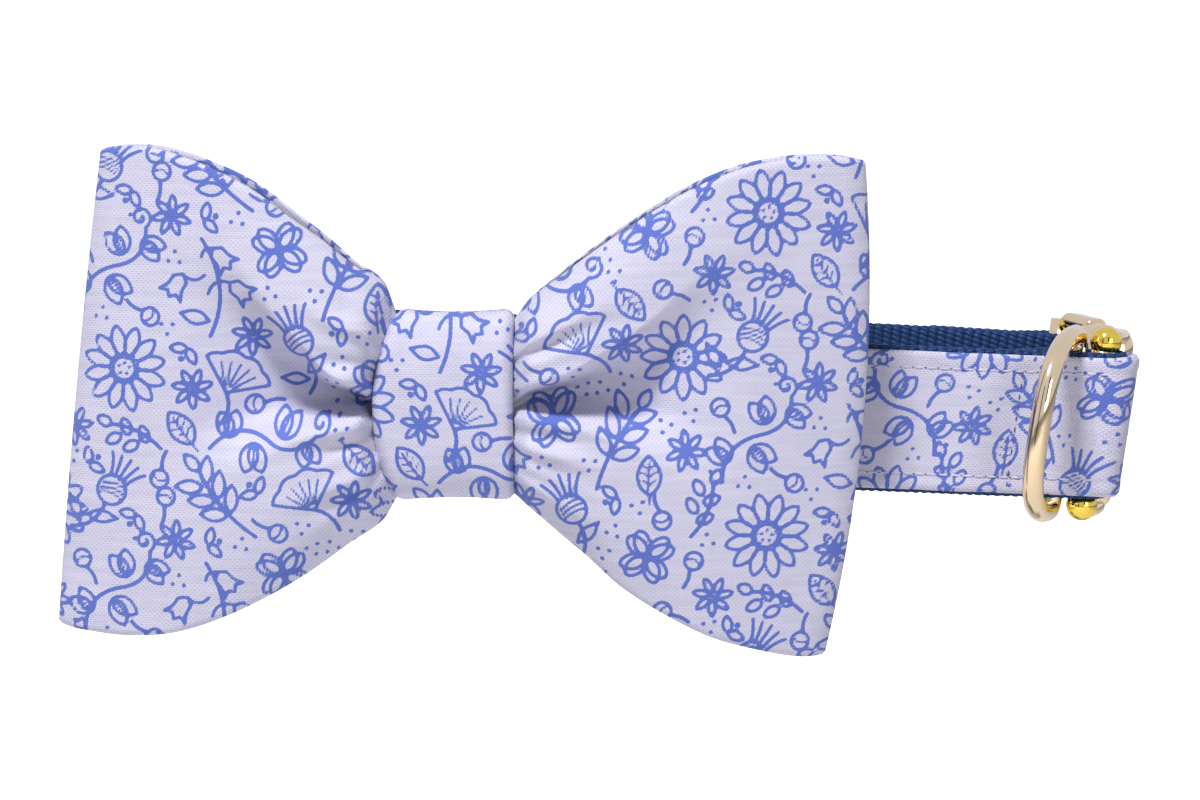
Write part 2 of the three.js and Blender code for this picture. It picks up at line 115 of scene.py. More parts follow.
world = bpy.data.worlds.new("white_surround")
bpy.context.scene.world = world
world.use_nodes = True
ambient = 0.16
added_in_reflections = 0.75
added_to_camera = 1.4
sky = world.node_tree
surround = sky.nodes["Background"]
surround.inputs["Color"].default_value = (0.84, 0.87, 1, 1)
seen = sky.nodes.new("ShaderNodeLightPath")
reflected = node_maths(sky, "MULTIPLY_ADD", seen.outputs["Is Glossy Ray"], added_in_reflections, ambient)
brightness = node_maths(sky, "MULTIPLY_ADD", seen.outputs["Is Camera Ray"], added_to_camera, reflected)
sky.links.new(brightness, surround.inputs["Strength"])
soft_lamp("key_lamp", (-0.25, -0.5, 0.9), 0.2, 14.5)
soft_lamp("fill_lamp", (0.5, -0.9, 0.25), 0.5, 3)
floor_half = 4
floor_level = -0.13
studio_sheet("floor", [(-floor_half, -floor_half, floor_level), (floor_half, -floor_half, floor_level),
                       (floor_half, floor_half, floor_level), (-floor_half, floor_half, floor_level)],
             (0.93, 0.93, 0.93))
floor_tree = bpy.data.materials["floor"].node_tree
floor_seen = floor_tree.nodes.new("ShaderNodeLightPath")
floor_shader = floor_tree.nodes["Principled BSDF"]
floor_shader.inputs["Emission Color"].default_value = (1, 1, 1, 1)
floor_tree.links.new(floor_seen.outputs["Is Camera Ray"], floor_shader.inputs["Emission Strength"])
dark_card = studio_sheet("dark_card", [(0.16, -0.75, 0.1), (0.34, -0.7, 0.1), (0.34, -0.7, 0.6),
                                       (0.16, -0.75, 0.6)], (0.015, 0.013, 0.01))
dark_strip = studio_sheet("dark_strip", [(-0.45, -0.7, -0.1), (-0.3, -0.75, -0.1), (-0.3, -0.75, 0.5),
                                         (-0.45, -0.7, 0.5)], (0.05, 0.03, 0.02))
for card in (dark_card, dark_strip):
    card.visible_camera = False
    card.visible_diffuse = False


# Bow body: printed cotton, doubled and sewn into a loop, pressed flat and pinched at the middle, so each
# wing is an open pocket with a fold at its outer edge. The two wings are two pieces that meet in the knot.
knot_low, knot_high = (np.array(corner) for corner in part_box("knot_band"))
knot_centre = (knot_low + knot_high) / 2
bow_tilt = math.radians(2.4)
knot_half = 11.2
bow_height = 84
bow_puff = 9
bow_wall = 1.4
fold_radius = 1.9
pinch_half_heights = (13, 15)
pinch_depth = 4.4
edge_start = 0.58
wing_row_step = 0.44
back_print_shift = 31.0
wing_columns = ("out", "top", "bottom", "ridge", "panel", "back", "upper", "lower", "curl")
left_wing = {
    "side": -1, "reach_top": 57.1, "reach_bottom": 65.6, "bulge": 0.5, "corner_edge": 7.3,
    "rows": [
        (0.05, 0.254, -0.232, 1.05, 0.03, 0.5, 0.07, 0.02, 0.7),
        (0.15, 0.292, -0.276, 1.2, 0.06, 0.62, 0.15, 0.03, 0.5),
        (0.25, 0.341, -0.322, 1.22, 0.11, 0.74, 0.26, 0.05, 0.36),
        (0.35, 0.383, -0.362, 1.18, 0.3, 0.8, 0.36, 0.09, 0.25),
        (0.5, 0.446, -0.412, 1.04, 0.66, 0.82, 0.48, 0.16, 0.14),
        (0.65, 0.488, -0.446, 0.88, 0.8, 0.74, 0.55, 0.26, 0.06),
        (0.8, 0.517, -0.455, 0.62, 0.62, 0.56, 0.6, 0.36, 0.02),
        (0.9, 0.523, -0.45, 0.42, 0.43, 0.38, 0.6, 0.4, 0),
        (1, 0.518, -0.441, 0.22, 0.22, 0.2, 0.6, 0.4, 0),
    ],
}
right_wing = {
    "side": 1, "reach_top": 70.4, "reach_bottom": 64.4, "bulge": 3.2, "corner_edge": 11.2,
    "rows": [
        (0.05, 0.222, -0.204, 1.05, 0.02, 0.5, 0.1, 0.01, 0.7),
        (0.15, 0.276, -0.252, 1.2, 0.05, 0.62, 0.14, 0.02, 0.5),
        (0.25, 0.327, -0.3, 1.22, 0.14, 0.74, 0.2, 0.04, 0.36),
        (0.35, 0.374, -0.354, 1.18, 0.34, 0.8, 0.27, 0.08, 0.25),
        (0.5, 0.436, -0.412, 1.04, 0.68, 0.82, 0.4, 0.16, 0.14),
        (0.65, 0.479, -0.458, 0.88, 0.8, 0.74, 0.5, 0.26, 0.06),
        (0.8, 0.5, -0.486, 0.62, 0.62, 0.56, 0.56, 0.36, 0.02),
        (0.9, 0.503, -0.5, 0.42, 0.43, 0.38, 0.56, 0.4, 0),
        (1, 0.495, -0.506, 0.22, 0.22, 0.2, 0.56, 0.42, 0),
    ],
}


def cubic(t, start, leave, end, reach):
    """The cubic from start to end as t goes from 0 to 1, with the slopes leave and reach at its ends."""
    return ((2 * t**3 - 3 * t**2 + 1) * start + (t**3 - 2 * t**2 + t) * leave
            + (3 * t**2 - 2 * t**3) * end + (t**3 - t**2) * reach)


def smooth_columns(rows, at):
    """All columns of a table at the values of its first: cubic pieces whose slope at a row is that between
    the rows before and after it, held at the table's ends."""
    table = np.array(rows, float)
    key = table[:, 0]
    slope = np.empty_like(table)
    slope[1:-1] = (table[2:] - table[:-2]) / (key[2:] - key[:-2])[:, None]
    slope[0] = (table[1] - table[0]) / (key[1] - key[0])
    slope[-1] = (table[-1] - table[-2]) / (key[-1] - key[-2])
    low = np.clip(np.searchsorted(key, at, side="right") - 1, 0, len(key) - 2)
    span = key[low + 1] - key[low]
    t = np.clip((at - key[low]) / span, 0, 1)[..., None]
    span = span[..., None]
    return cubic(t, table[low], span * slope[low], table[low + 1], span * slope[low + 1])


def smooth_step(x, low, high):
    """0 below low, 1 above high, and 3t squared less 2t cubed between them."""
    t = np.clip((x - low) / (high - low), 0, 1)
    return t * t * (3 - 2 * t)


def wing_surface(wing, out, up, layer, inset):
    """Points of a wing in the bow's own upright frame, mm. out runs from -0.2 in the knot's middle over 0 at
    its edge to 1 at the outer fold, up from -1 to 1, layer is 1 in front and -1 behind. Height is a mix of
    the top and bottom outlines; depth is the panel between the creases raised to the roll beyond them,
    rolled back at the edges and rounded into the fold; small pleats fan out from the knot."""
    deep = pinch_depth / bow_puff
    middle, mouth = (half / bow_height for half in pinch_half_heights)
    pinch = (deep, deep * 0.3, deep, 0.05, 0.03, 0.62)
    table = [(-0.2, middle, -middle, *pinch), (0, mouth, -mouth, *pinch), *wing["rows"]]
    value = dict(zip(wing_columns, np.moveaxis(smooth_columns(table, out), -1, 0)))
    lift = (up + 1) / 2
    knot_edge = wing["corner_edge"] + (knot_half - wing["corner_edge"]) * (1 - up**2) + 0.2
    reach = wing["reach_bottom"] * (1 - lift) + wing["reach_top"] * lift + wing["bulge"] * (1 - up**2) - inset
    across = np.where(out < 0, knot_edge * (1 + out / 0.2), knot_edge + (reach - knot_edge) * out)
    past = np.clip(1 - (reach - across) / (2 * fold_radius), 0, 1)
    nose = np.sqrt(np.clip(1 - past**2, 0, 1))
    height = bow_height * (value["bottom"] * (1 - lift) + value["top"] * lift) - up * bow_wall * 0.6
    crease = (value["upper"] + value["lower"]) / 2
    from_valley = np.abs(up - (value["upper"] - value["lower"]) / 2)
    soft = 0.07 + 0.2 * np.clip(out, 0, 1)
    roll = smooth_step(from_valley, crease - soft * 0.7, crease + soft * 1.3)
    edge = np.clip((np.abs(up) - edge_start) / (1 - edge_start), 0, 1)
    curl = 1 - value["curl"] * edge**2
    front = value["panel"] * (1 - roll) + value["ridge"] * roll
    fan = np.exp(-((out - 0.1) / 0.13) ** 2) * (1 - edge)
    pleats = 0.065 * fan * np.sin(up * 17 + 2.2 * wing["side"]) + 0.04 * fan * np.sin(up * 31 + 0.7)
    slack = 0.022 * np.sin(out * 9 + up * 3.1) * np.sin(up * 4.3 - out * 5 + wing["side"])
    slack = slack * np.sin(np.pi * np.clip(out, 0, 1))
    depth = bow_puff * (np.where(layer > 0, front + pleats, value["back"]) + slack) * curl
    inner = np.maximum(depth - inset, depth * 0.3)
    return np.stack([wing["side"] * across, -layer * inner * nose, height], axis=-1)


def upright_to_place(points):
    """From the bow's upright frame in mm to the collar's in metres: a small turn about Y, then a shift."""
    x, y, z = np.moveaxis(points, -1, 0)
    turned = np.stack([x * math.cos(bow_tilt) - z * math.sin(bow_tilt), y,
                       x * math.sin(bow_tilt) + z * math.cos(bow_tilt)], axis=-1)
    return turned * mm + knot_centre


def smooth_object(name, points, faces, uv=None, ink=None):
    """A smooth mesh object from an array of points in metres and one of quads, which are reversed where the
    volume that they enclose is below zero. uv is in metres for each point, and ink, the print's distance, in
    mm."""
    a, b, c, d = (points[faces[:, k]] for k in range(4))
    if (a * np.cross(b, c)).sum() + (a * np.cross(c, d)).sum() < 0:
        faces = faces[:, ::-1]
    mesh = bpy.data.meshes.new(name)
    mesh.vertices.add(len(points))
    mesh.vertices.foreach_set("co", points.astype(np.float32).ravel())
    mesh.loops.add(faces.size)
    mesh.loops.foreach_set("vertex_index", faces.astype(np.int32).ravel())
    mesh.polygons.add(len(faces))
    mesh.polygons.foreach_set("loop_start", np.arange(0, faces.size, 4, dtype=np.int32))
    mesh.update(calc_edges=True)
    mesh.polygons.foreach_set("use_smooth", np.ones(len(faces), bool))
    if uv is not None:
        layer = mesh.uv_layers.new(name="cloth")
        layer.uv.foreach_set("vector", uv[faces.ravel()].astype(np.float32).ravel())
    if ink is not None:
        mesh.attributes.new("ink", "FLOAT", "POINT").data.foreach_set("value", ink.astype(np.float32))
    mesh.validate()
    made = bpy.data.objects.new(name, mesh)
    bpy.context.scene.collection.objects.link(made)
    return made


def tube_faces(rings, sides, closed):
    """The quads between rings of sides points each; closed joins the last ring to the first."""
    i = np.arange(rings if closed else rings - 1)[:, None]
    j = np.arange(sides)[None, :]
    following = (i + 1) % rings
    after = (j + 1) % sides
    return np.stack([i * sides + j, following * sides + j, following * sides + after, i * sides + after],
                    axis=-1).reshape(-1, 4)


def sheet_shell(outer, inner, closed):
    """Points and quads of a cloth wall from its outer and inner faces, arrays of columns by rows. Each
    column becomes a ring: up the outer face, over a rounded rim, down the inner face, and under the lower
    rim. closed joins the last column to the first, and otherwise both ends are closed by a strip."""
    columns, rows = outer.shape[:2]

    def rim(last, before):
        """Two rows of points over the edge row last, on a half circle away from the row before it."""
        middle = (outer[:, last] + inner[:, last]) / 2
        across = (outer[:, last] - inner[:, last]) / 2
        away = outer[:, last] - outer[:, before]
        away = away / np.maximum(np.linalg.norm(away, axis=1, keepdims=True), 1e-12)
        away = away * np.linalg.norm(across, axis=1, keepdims=True)
        return [middle + across * math.cos(a) + away * math.sin(a) for a in (math.pi / 3, 2 * math.pi / 3)]

    top = np.stack(rim(-1, -2), axis=1)
    bottom = np.stack(rim(0, 1)[::-1], axis=1)
    ring = np.concatenate([outer, top, inner[:, ::-1], bottom], axis=1)
    count = ring.shape[1]
    faces = tube_faces(columns, count, closed)
    if not closed:
        k = np.arange(rows - 1)
        mirror = 2 * rows + 1 - k
        lid = np.stack([k, k + 1, mirror - 1, mirror], axis=-1)
        upper = [rows - 1, rows, rows + 1, rows + 2]
        lower = [2 * rows + 1, 2 * rows + 2, 2 * rows + 3, 0]
        lid = np.concatenate([lid, [upper, lower]])
        faces = np.concatenate([faces, lid, lid[:, ::-1] + (columns - 1) * count])
    return ring.reshape(-1, 3), faces, ring


# The print: fine blue lines, charted as a tile of flowers, leaves and sprigs that repeats over the cloth.
# Each motif is a list of strokes, and a stroke is a line of points with half a width, all in mm.
line_half = 0.28
stem_half = 0.33


def turned(points, x, y, angle):
    """Points turned by angle round (0, 0) and then shifted to (x, y)."""
    c, s = math.cos(angle), math.sin(angle)
    px, py = points[:, 0], points[:, 1]
    return np.stack([x + px * c - py * s, y + px * s + py * c], axis=1)


def polar(radius, angle):
    """The point at a radius and an angle from (0, 0)."""
    return radius * math.cos(angle), radius * math.sin(angle)


def loop_stroke(cx, cy, length, width, angle, point=1.0):
    """A closed petal or leaf: from its foot at (cx, cy) along angle, its half width is the sine of half a
    turn raised to point, so that a higher point draws it sharper."""
    t = np.linspace(0, 1, 13)
    side = width / 2 * np.sin(np.pi * t**0.9) ** point
    along = np.concatenate([t, t[::-1]]) * length
    off = np.concatenate([side, -side[::-1]])
    return turned(np.stack([along, off], axis=1), cx, cy, angle), line_half


def ring_stroke(cx, cy, radius):
    """A circle round (cx, cy)."""
    a = np.linspace(0, 2 * np.pi, 37)
    return np.stack([cx + radius * np.cos(a), cy + radius * np.sin(a)], axis=1), line_half


def arc_stroke(x0, y0, x1, y1, bend, half=stem_half):
    """A curved stem from one point to another, bent sideways at its middle by bend of its length."""
    t = np.linspace(0, 1, 12)
    dx, dy = x1 - x0, y1 - y0
    swell = bend * 4 * t * (1 - t)
    return np.stack([x0 + dx * t - dy * swell, y0 + dy * t + dx * swell], axis=1), half


def dot_stroke(x, y, half):
    """A dot: a stroke so short that its round ends meet."""
    return np.array([[x - 0.05, y], [x + 0.05, y]]), half


def daisy():
    """Long narrow petals round a seeded middle."""
    petals, radius = 12, 7.2
    strokes = [ring_stroke(0, 0, radius * 0.27)]
    for k in range(petals):
        a = 2 * math.pi * k / petals
        long = radius * (0.68 + 0.05 * math.sin(3.1 * k))
        strokes.append(loop_stroke(*polar(radius * 0.31, a), long, radius * 0.33, a, 0.6))
    strokes += [dot_stroke(*polar(radius * 0.13, a), 0.3) for a in np.linspace(0, 2 * math.pi, 6)[:-1]]
    return strokes


def clover_flower():
    """Four heart-shaped petals, each with a short vein."""
    radius = 4.2
    strokes = [dot_stroke(0, 0, 0.5)]
    for k in range(4):
        a = math.pi / 2 * k + 0.3
        for turn in (-0.24, 0.24):
            strokes.append(loop_stroke(*polar(0.5, a), radius, radius * 0.62, a + turn, 0.5))
    return strokes


def bellflower():
    """A bent stem with three hanging bells, each with a flared mouth."""
    strokes = [arc_stroke(-1, -8.5, 2, 7.5, -0.14)]
    for x, y, a in ((3.4, 5.6, -1.1), (-2.6, 2.6, -2.4), (4.6, -0.6, -0.9)):
        strokes.append(arc_stroke(0.6 + 0.1 * y, y - 1, x, y, 0.25, line_half))
        bell = np.array([(0, 0), (1.0, 1.25), (2.6, 1.3), (4.2, 2.1), (3.6, 0.8), (4.5, 0), (3.6, -0.8),
                         (4.2, -2.1), (2.6, -1.3), (1.0, -1.25), (0, 0)])
        strokes.append((turned(bell, x, y, a), line_half))
    strokes.append(loop_stroke(-0.5, -6, 5, 2.2, 2.6, 1.2))
    return strokes


def wheat():
    """An ear of grain: open paired seeds up a bowed stalk."""
    strokes = [arc_stroke(0, -9, 0.4, 5.5, 0.07)]
    for k in range(3):
        y = -3.2 + 3.1 * k
        for side in (-1, 1):
            strokes.append(loop_stroke(side * 0.4 - 0.7, y, 4.6, 2.1, math.pi / 2 - side * 0.8, 0.8))
    strokes.append(loop_stroke(0.3, 5.4, 3.6, 1.9, math.pi / 2, 0.8))
    return strokes


def ivy():
    """A wandering vine with heart-shaped leaves on short stalks and a curled tip."""
    strokes = [arc_stroke(-9, -4, 0, 0, 0.2), arc_stroke(0, 0, 8, 3, -0.22)]
    for x, y, a, size in ((-6.2, -1.4, 1.9, 4.4), (-2.0, -1.2, -1.3, 4.8), (2.4, 1.0, 1.5, 4.6),
                          (6.2, 1.3, -1.0, 4.2)):
        for turn in (-0.32, 0.32):
            strokes.append(loop_stroke(x, y, size, size * 0.62, a + turn, 0.75))
        tip_x, tip_y = polar(size * 0.75, a)
        strokes.append(arc_stroke(x, y, x + tip_x, y + tip_y, 0.04, 0.2))
    a = np.linspace(0, 2.6 * np.pi, 22)
    r = 1.9 - 0.19 * a
    strokes.append((np.stack([8 + r * np.sin(a), 3 + 1.9 - r * np.cos(a)], axis=1), line_half))
    return strokes


def fan_leaf():
    """A fan on a stalk, with a scalloped rim and rays."""
    a = np.linspace(-0.95, 0.95, 25)
    r = 6.6 + 0.45 * np.abs(np.sin(a * 5.5))
    rim = np.concatenate([[(0, 0)], np.stack([r * np.sin(a), r * np.cos(a)], axis=1), [(0, 0)]])
    rays = [arc_stroke(1.2 * math.sin(b), 1.2 * math.cos(b), 5.2 * math.sin(b), 5.2 * math.cos(b), 0.02, 0.2)
            for b in (-0.62, -0.31, 0, 0.31, 0.62)]
    return [(rim, line_half), arc_stroke(0, 0, 1.6, -5.2, 0.15), *rays]


def thistle():
    """A round bud of crossed scales under a brush of strokes."""
    strokes = [ring_stroke(0, 0, 2.5), arc_stroke(0.3, -2.6, -2.4, -9.5, 0.16)]
    strokes += [arc_stroke(0.8 * k, 2.2, 1.7 * k, 6.2 - 0.35 * abs(k), 0.03 * k, line_half)
                for k in range(-2, 3)]
    strokes += [arc_stroke(-1.9, 0.9 * k - 0.6, 1.9, 0.9 * k + 0.5, 0.1, 0.2) for k in (-1, 0, 1)]
    strokes += [loop_stroke(-1.2, -6, 5.4, 2.0, 0.5, 1.3), loop_stroke(-1.6, -7.2, 4.6, 1.8, 2.7, 1.3)]
    return strokes


def sprig():
    """A short stem with rounded buds on both sides."""
    strokes = [arc_stroke(0, -5, 0.5, 4.5, -0.1)]
    for y, side in ((-2.4, 1), (-1.0, -1), (0.9, 1), (2.2, -1)):
        strokes.append(loop_stroke(side * 0.3 - 0.2, y, 2.9, 1.7, math.pi / 2 - side * 0.85, 0.6))
    strokes.append(loop_stroke(0.5, 4.4, 2.6, 1.7, 1.5, 0.6))
    return strokes


def pinwheel():
    """A small flower of seven thin loops round a dot."""
    radius = 2.7
    return [dot_stroke(0, 0, 0.38)] + [loop_stroke(*polar(0.7, a), radius, radius * 0.42, a + 0.25, 0.6)
                                       for a in np.linspace(0, 2 * math.pi, 8)[:-1]]


def three_dots():
    """Three dots round an empty middle."""
    return [dot_stroke(*polar(1.1, a), 0.36) for a in (0.5, 2.6, 4.7)]


tile_width = 62.0
tile_height = 54.0
motif_reach = 14
tile = (
    (daisy, 9, 10, 0.2), (fan_leaf, 26, 6, -0.5), (thistle, 38.5, 15, 0.35), (clover_flower, 51, 7, 0.2),
    (bellflower, 22.5, 24, 0.25), (ivy, 7.5, 27, 0.5), (pinwheel, 30.5, 15.5, 0), (sprig, 60, 15, -0.35),
    (clover_flower, 35.5, 30, 0.7), (wheat, 47, 26.5, -0.5), (daisy, 57, 40, 0), (pinwheel, 17.5, 35.5, 0.4),
    (thistle, 6.5, 43.5, -0.6), (wheat, 25, 43, 0.75), (fan_leaf, 41, 41, 0.5), (sprig, 10.5, 52.5, 1.2),
    (ivy, 33, 52.5, -0.25), (pinwheel, 57.5, 24.5, 0.6), (three_dots, 0.5, 20.5, 0),
    (three_dots, 16.5, 17, 0), (three_dots, 44, 3, 1), (three_dots, 40.5, 34.2, 0.4),
    (three_dots, 61.5, 49, 0.2), (three_dots, 28.6, 35, 0.9), (three_dots, 11.5, 35.5, 0.5),
    (three_dots, 49.5, 15.5, 0.3),
)


def berry_pair():
    """Two leaves and a berry, one of the print's small fillers."""
    return [loop_stroke(0, -0.6, 2.9, 1.5, 0.5, 0.7), loop_stroke(0, -0.6, 2.9, 1.5, 2.6, 0.7),
            dot_stroke(0, 1.4, 0.5)]


def veined_leaf():
    """One broad leaf with a midrib and three pairs of veins."""
    strokes = [loop_stroke(0, -3, 6.6, 3.9, math.pi / 2, 0.8), arc_stroke(0, -4.6, 0, 2.4, 0.03, 0.2)]
    for y in (-1.4, -0.1, 1.2):
        strokes += [arc_stroke(0, y, side * 1.15, y + 0.9, 0.06 * side, 0.16) for side in (-1, 1)]
    return strokes


def bud():
    """A round bud on a short stalk, cut by one line."""
    return [ring_stroke(0, 1.2, 1.5), arc_stroke(0, -0.3, 0.5, -3.6, 0.1),
            arc_stroke(-1.3, 0.8, 1.3, 0.8, 0.25, 0.2)]


def with_neighbours(points):
    """The points in the tile and in the eight tiles round it."""
    return np.concatenate([points + (i * tile_width, j * tile_height)
                           for i in (-1, 0, 1) for j in (-1, 0, 1)])


def with_fillers(motifs):
    """The tile with small motifs added wherever a place on a close grid lies clear of every stroke. The
    distance is measured to the strokes' points in the tile and in the eight tiles round it."""
    inked = with_neighbours(np.concatenate([turned(line, mx, my, turn) for motif, mx, my, turn in motifs
                                            for line, half in motif()]))
    added = []
    levels = ((3.7, (pinwheel, veined_leaf, bud), 1.7), (2.9, (berry_pair, bud), 1.3),
              (2.2, (three_dots,), 1.9))
    for clear, choices, grid in levels:
        for y in np.arange(0, tile_height, grid):
            for x in np.arange(0, tile_width, grid) + grid * math.sin(2.3 * y):
                if np.hypot(*(inked - (x, y)).T).min() > clear:
                    added.append((choices[len(added) % len(choices)], x, y, 0.37 * x + 0.61 * y))
                    rim = clear * 0.8
                    spot = [(x + rim * math.cos(a), y + rim * math.sin(a)) for a in np.linspace(0, 6, 8)]
                    inked = np.concatenate([inked, with_neighbours(np.array([*spot, (x, y)]))])
    return (*motifs, *added)


full_tile = with_fillers(tile)


def print_distance(u, v, shift_u, shift_v):
    """How far each point of the cloth chart (u, v in mm) lies from the print's nearest stroke, less half
    its width: the least distance to any piece of any stroke, so it is below zero on the ink. Only points
    in a stroke's own box are looked at."""
    far = 3.0
    best = np.full(u.shape, far)
    reach = 1.0
    tiles_u, tiles_v = (range(math.floor((at.min() + shift) / size) - 1,
                              math.ceil((at.max() + shift) / size) + 1)
                        for at, shift, size in ((u, shift_u, tile_width), (v, shift_v, tile_height)))
    for tile_i in tiles_u:
        for tile_j in tiles_v:
            for motif, mx, my, turn in full_tile:
                cx = tile_i * tile_width + mx - shift_u
                cy = tile_j * tile_height + my - shift_v
                near = np.flatnonzero((np.abs(u - cx) < motif_reach) & (np.abs(v - cy) < motif_reach))
                if not len(near):
                    continue
                c, s = math.cos(turn), math.sin(turn)
                x = (u[near] - cx) * c + (v[near] - cy) * s
                y = (v[near] - cy) * c - (u[near] - cx) * s
                found = best[near]
                for line, half in motif():
                    low, high = line.min(0) - reach, line.max(0) + reach
                    inside = np.flatnonzero((x > low[0]) & (x < high[0]) & (y > low[1]) & (y < high[1]))
                    if not len(inside):
                        continue
                    p = np.stack([x[inside], y[inside]], axis=1)[:, None]
                    a, d = line[:-1], np.diff(line, axis=0)
                    t = np.clip(((p - a) * d).sum(2) / np.maximum((d * d).sum(1), 1e-9), 0, 1)
                    gap = np.linalg.norm(p - a - t[..., None] * d, axis=2).min(1) - half
                    found[inside] = np.minimum(found[inside], gap)
                best[near] = found
    return best


def make_weave_group():
    """A plain weave as a node group: two sets of threads that pass over and under each other."""
    group = bpy.data.node_groups.new("plain_weave", "ShaderNodeTree")
    group.interface.new_socket("UV", in_out="INPUT", socket_type="NodeSocketVector")
    group.interface.new_socket("Threads", in_out="INPUT", socket_type="NodeSocketFloat")
    group.interface.new_socket("Height", in_out="OUTPUT", socket_type="NodeSocketFloat")
    group.interface.new_socket("Shade", in_out="OUTPUT", socket_type="NodeSocketFloat")
    source = group.nodes.new("NodeGroupInput")
    result = group.nodes.new("NodeGroupOutput")
    split = group.nodes.new("ShaderNodeSeparateXYZ")
    group.links.new(source.outputs["UV"], split.inputs[0])
    turns = node_maths(group, "MULTIPLY", source.outputs["Threads"], math.pi)
    along, across = (node_maths(group, "SINE", node_maths(group, "MULTIPLY", split.outputs[k], turns))
                     for k in (0, 1))
    over = node_maths(group, "MULTIPLY", along, across)
    ridges = node_maths(group, "MAXIMUM", node_maths(group, "ABSOLUTE", along),
                        node_maths(group, "ABSOLUTE", across))
    group.links.new(node_maths(group, "MULTIPLY_ADD", over, 0.35, ridges), result.inputs["Height"])
    slub = group.nodes.new("ShaderNodeTexNoise")
    slub.inputs["Scale"].default_value = 1
    slub.inputs["Detail"].default_value = 2
    stretch = group.nodes.new("ShaderNodeMapping")
    stretch.inputs["Scale"].default_value = (90, 900, 1)
    group.links.new(source.outputs["UV"], stretch.inputs["Vector"])
    group.links.new(stretch.outputs[0], slub.inputs["Vector"])
    uneven = node_maths(group, "SUBTRACT", slub.outputs["Fac"], 0.5)
    group.links.new(node_maths(group, "MULTIPLY_ADD", over, 0.28, uneven), result.inputs["Shade"])
    return group


plain_weave = make_weave_group()


def object_noise(tree, scale, detail=2):
    """A noise texture over Object coordinates: its grey output."""
    place = tree.nodes.new("ShaderNodeTexCoord")
    texture = tree.nodes.new("ShaderNodeTexNoise")
    texture.inputs["Scale"].default_value = scale
    texture.inputs["Detail"].default_value = detail
    tree.links.new(place.outputs["Object"], texture.inputs["Vector"])
    return texture.outputs["Fac"]


def bumped(tree, shader, height, strength, distance):
    """A Bump node from height to the shader's Normal."""
    bump = tree.nodes.new("ShaderNodeBump")
    bump.inputs["Strength"].default_value = strength
    bump.inputs["Distance"].default_value = distance
    tree.links.new(height, bump.inputs["Height"])
    tree.links.new(bump.outputs[0], shader.inputs["Normal"])


def mixed_colour(tree, factor, low, high):
    """One colour mix node, with its colours set or linked."""
    node = tree.nodes.new("ShaderNodeMix")
    node.data_type = "RGBA"
    tree.links.new(factor, node.inputs[0])
    for socket, colour in ((node.inputs[6], low), (node.inputs[7], high)):
        if isinstance(colour, tuple):
            socket.default_value = (*colour, 1)
        else:
            tree.links.new(colour, socket)
    return node.outputs[2]


cotton_colour = (0.60, 0.58, 0.70)
cotton_thread = (0.40, 0.39, 0.53)
ink_colour = (0.062, 0.108, 0.44)
ink_faded = (0.125, 0.195, 0.56)


def printed_cotton():
    """Lavender plain-weave cotton with the print where the ink attribute is below zero."""
    material, tree, shader = new_material("printed_cotton")
    uv = tree.nodes.new("ShaderNodeUVMap")
    uv.uv_map = "cloth"
    weave = tree.nodes.new("ShaderNodeGroup")
    weave.node_tree = plain_weave
    weave.inputs["Threads"].default_value = 2600
    tree.links.new(uv.outputs[0], weave.inputs["UV"])
    blotch = object_noise(tree, 45, 3)
    fray = object_noise(tree, 2600, 1)
    ink = tree.nodes.new("ShaderNodeAttribute")
    ink.attribute_name = "ink"
    rough_edge = node_maths(tree, "MULTIPLY", node_maths(tree, "SUBTRACT", fray, 0.5), 0.16)
    distance = node_maths(tree, "ADD", ink.outputs["Fac"], rough_edge)
    covered = tree.nodes.new("ShaderNodeMapRange")
    covered.inputs["From Min"].default_value = 0.07
    covered.inputs["From Max"].default_value = -0.05
    tree.links.new(distance, covered.inputs["Value"])
    shade = node_maths(tree, "MULTIPLY_ADD", weave.outputs["Shade"], 0.8, 0.42)
    cloth = mixed_colour(tree, shade, cotton_colour, cotton_thread)
    faded = node_maths(tree, "MULTIPLY", node_maths(tree, "ADD", blotch, weave.outputs["Shade"]), 0.34)
    dye = mixed_colour(tree, faded, ink_colour, ink_faded)
    strength = node_maths(tree, "MULTIPLY", covered.outputs[0], 0.95)
    tree.links.new(mixed_colour(tree, strength, cloth, dye), shader.inputs["Base Color"])
    tree.links.new(node_maths(tree, "MULTIPLY_ADD", blotch, 0.1, 0.82), shader.inputs["Roughness"])
    shader.inputs["Sheen Weight"].default_value = 0.12
    shader.inputs["Sheen Roughness"].default_value = 0.5
    shader.inputs["Specular IOR Level"].default_value = 0.25
    crumple = object_noise(tree, 130, 4)
    height = node_maths(tree, "MULTIPLY_ADD", crumple, 2.2, weave.outputs["Height"])
    bumped(tree, shader, height, 0.8, 0.00012)
    return material


cotton = printed_cotton()


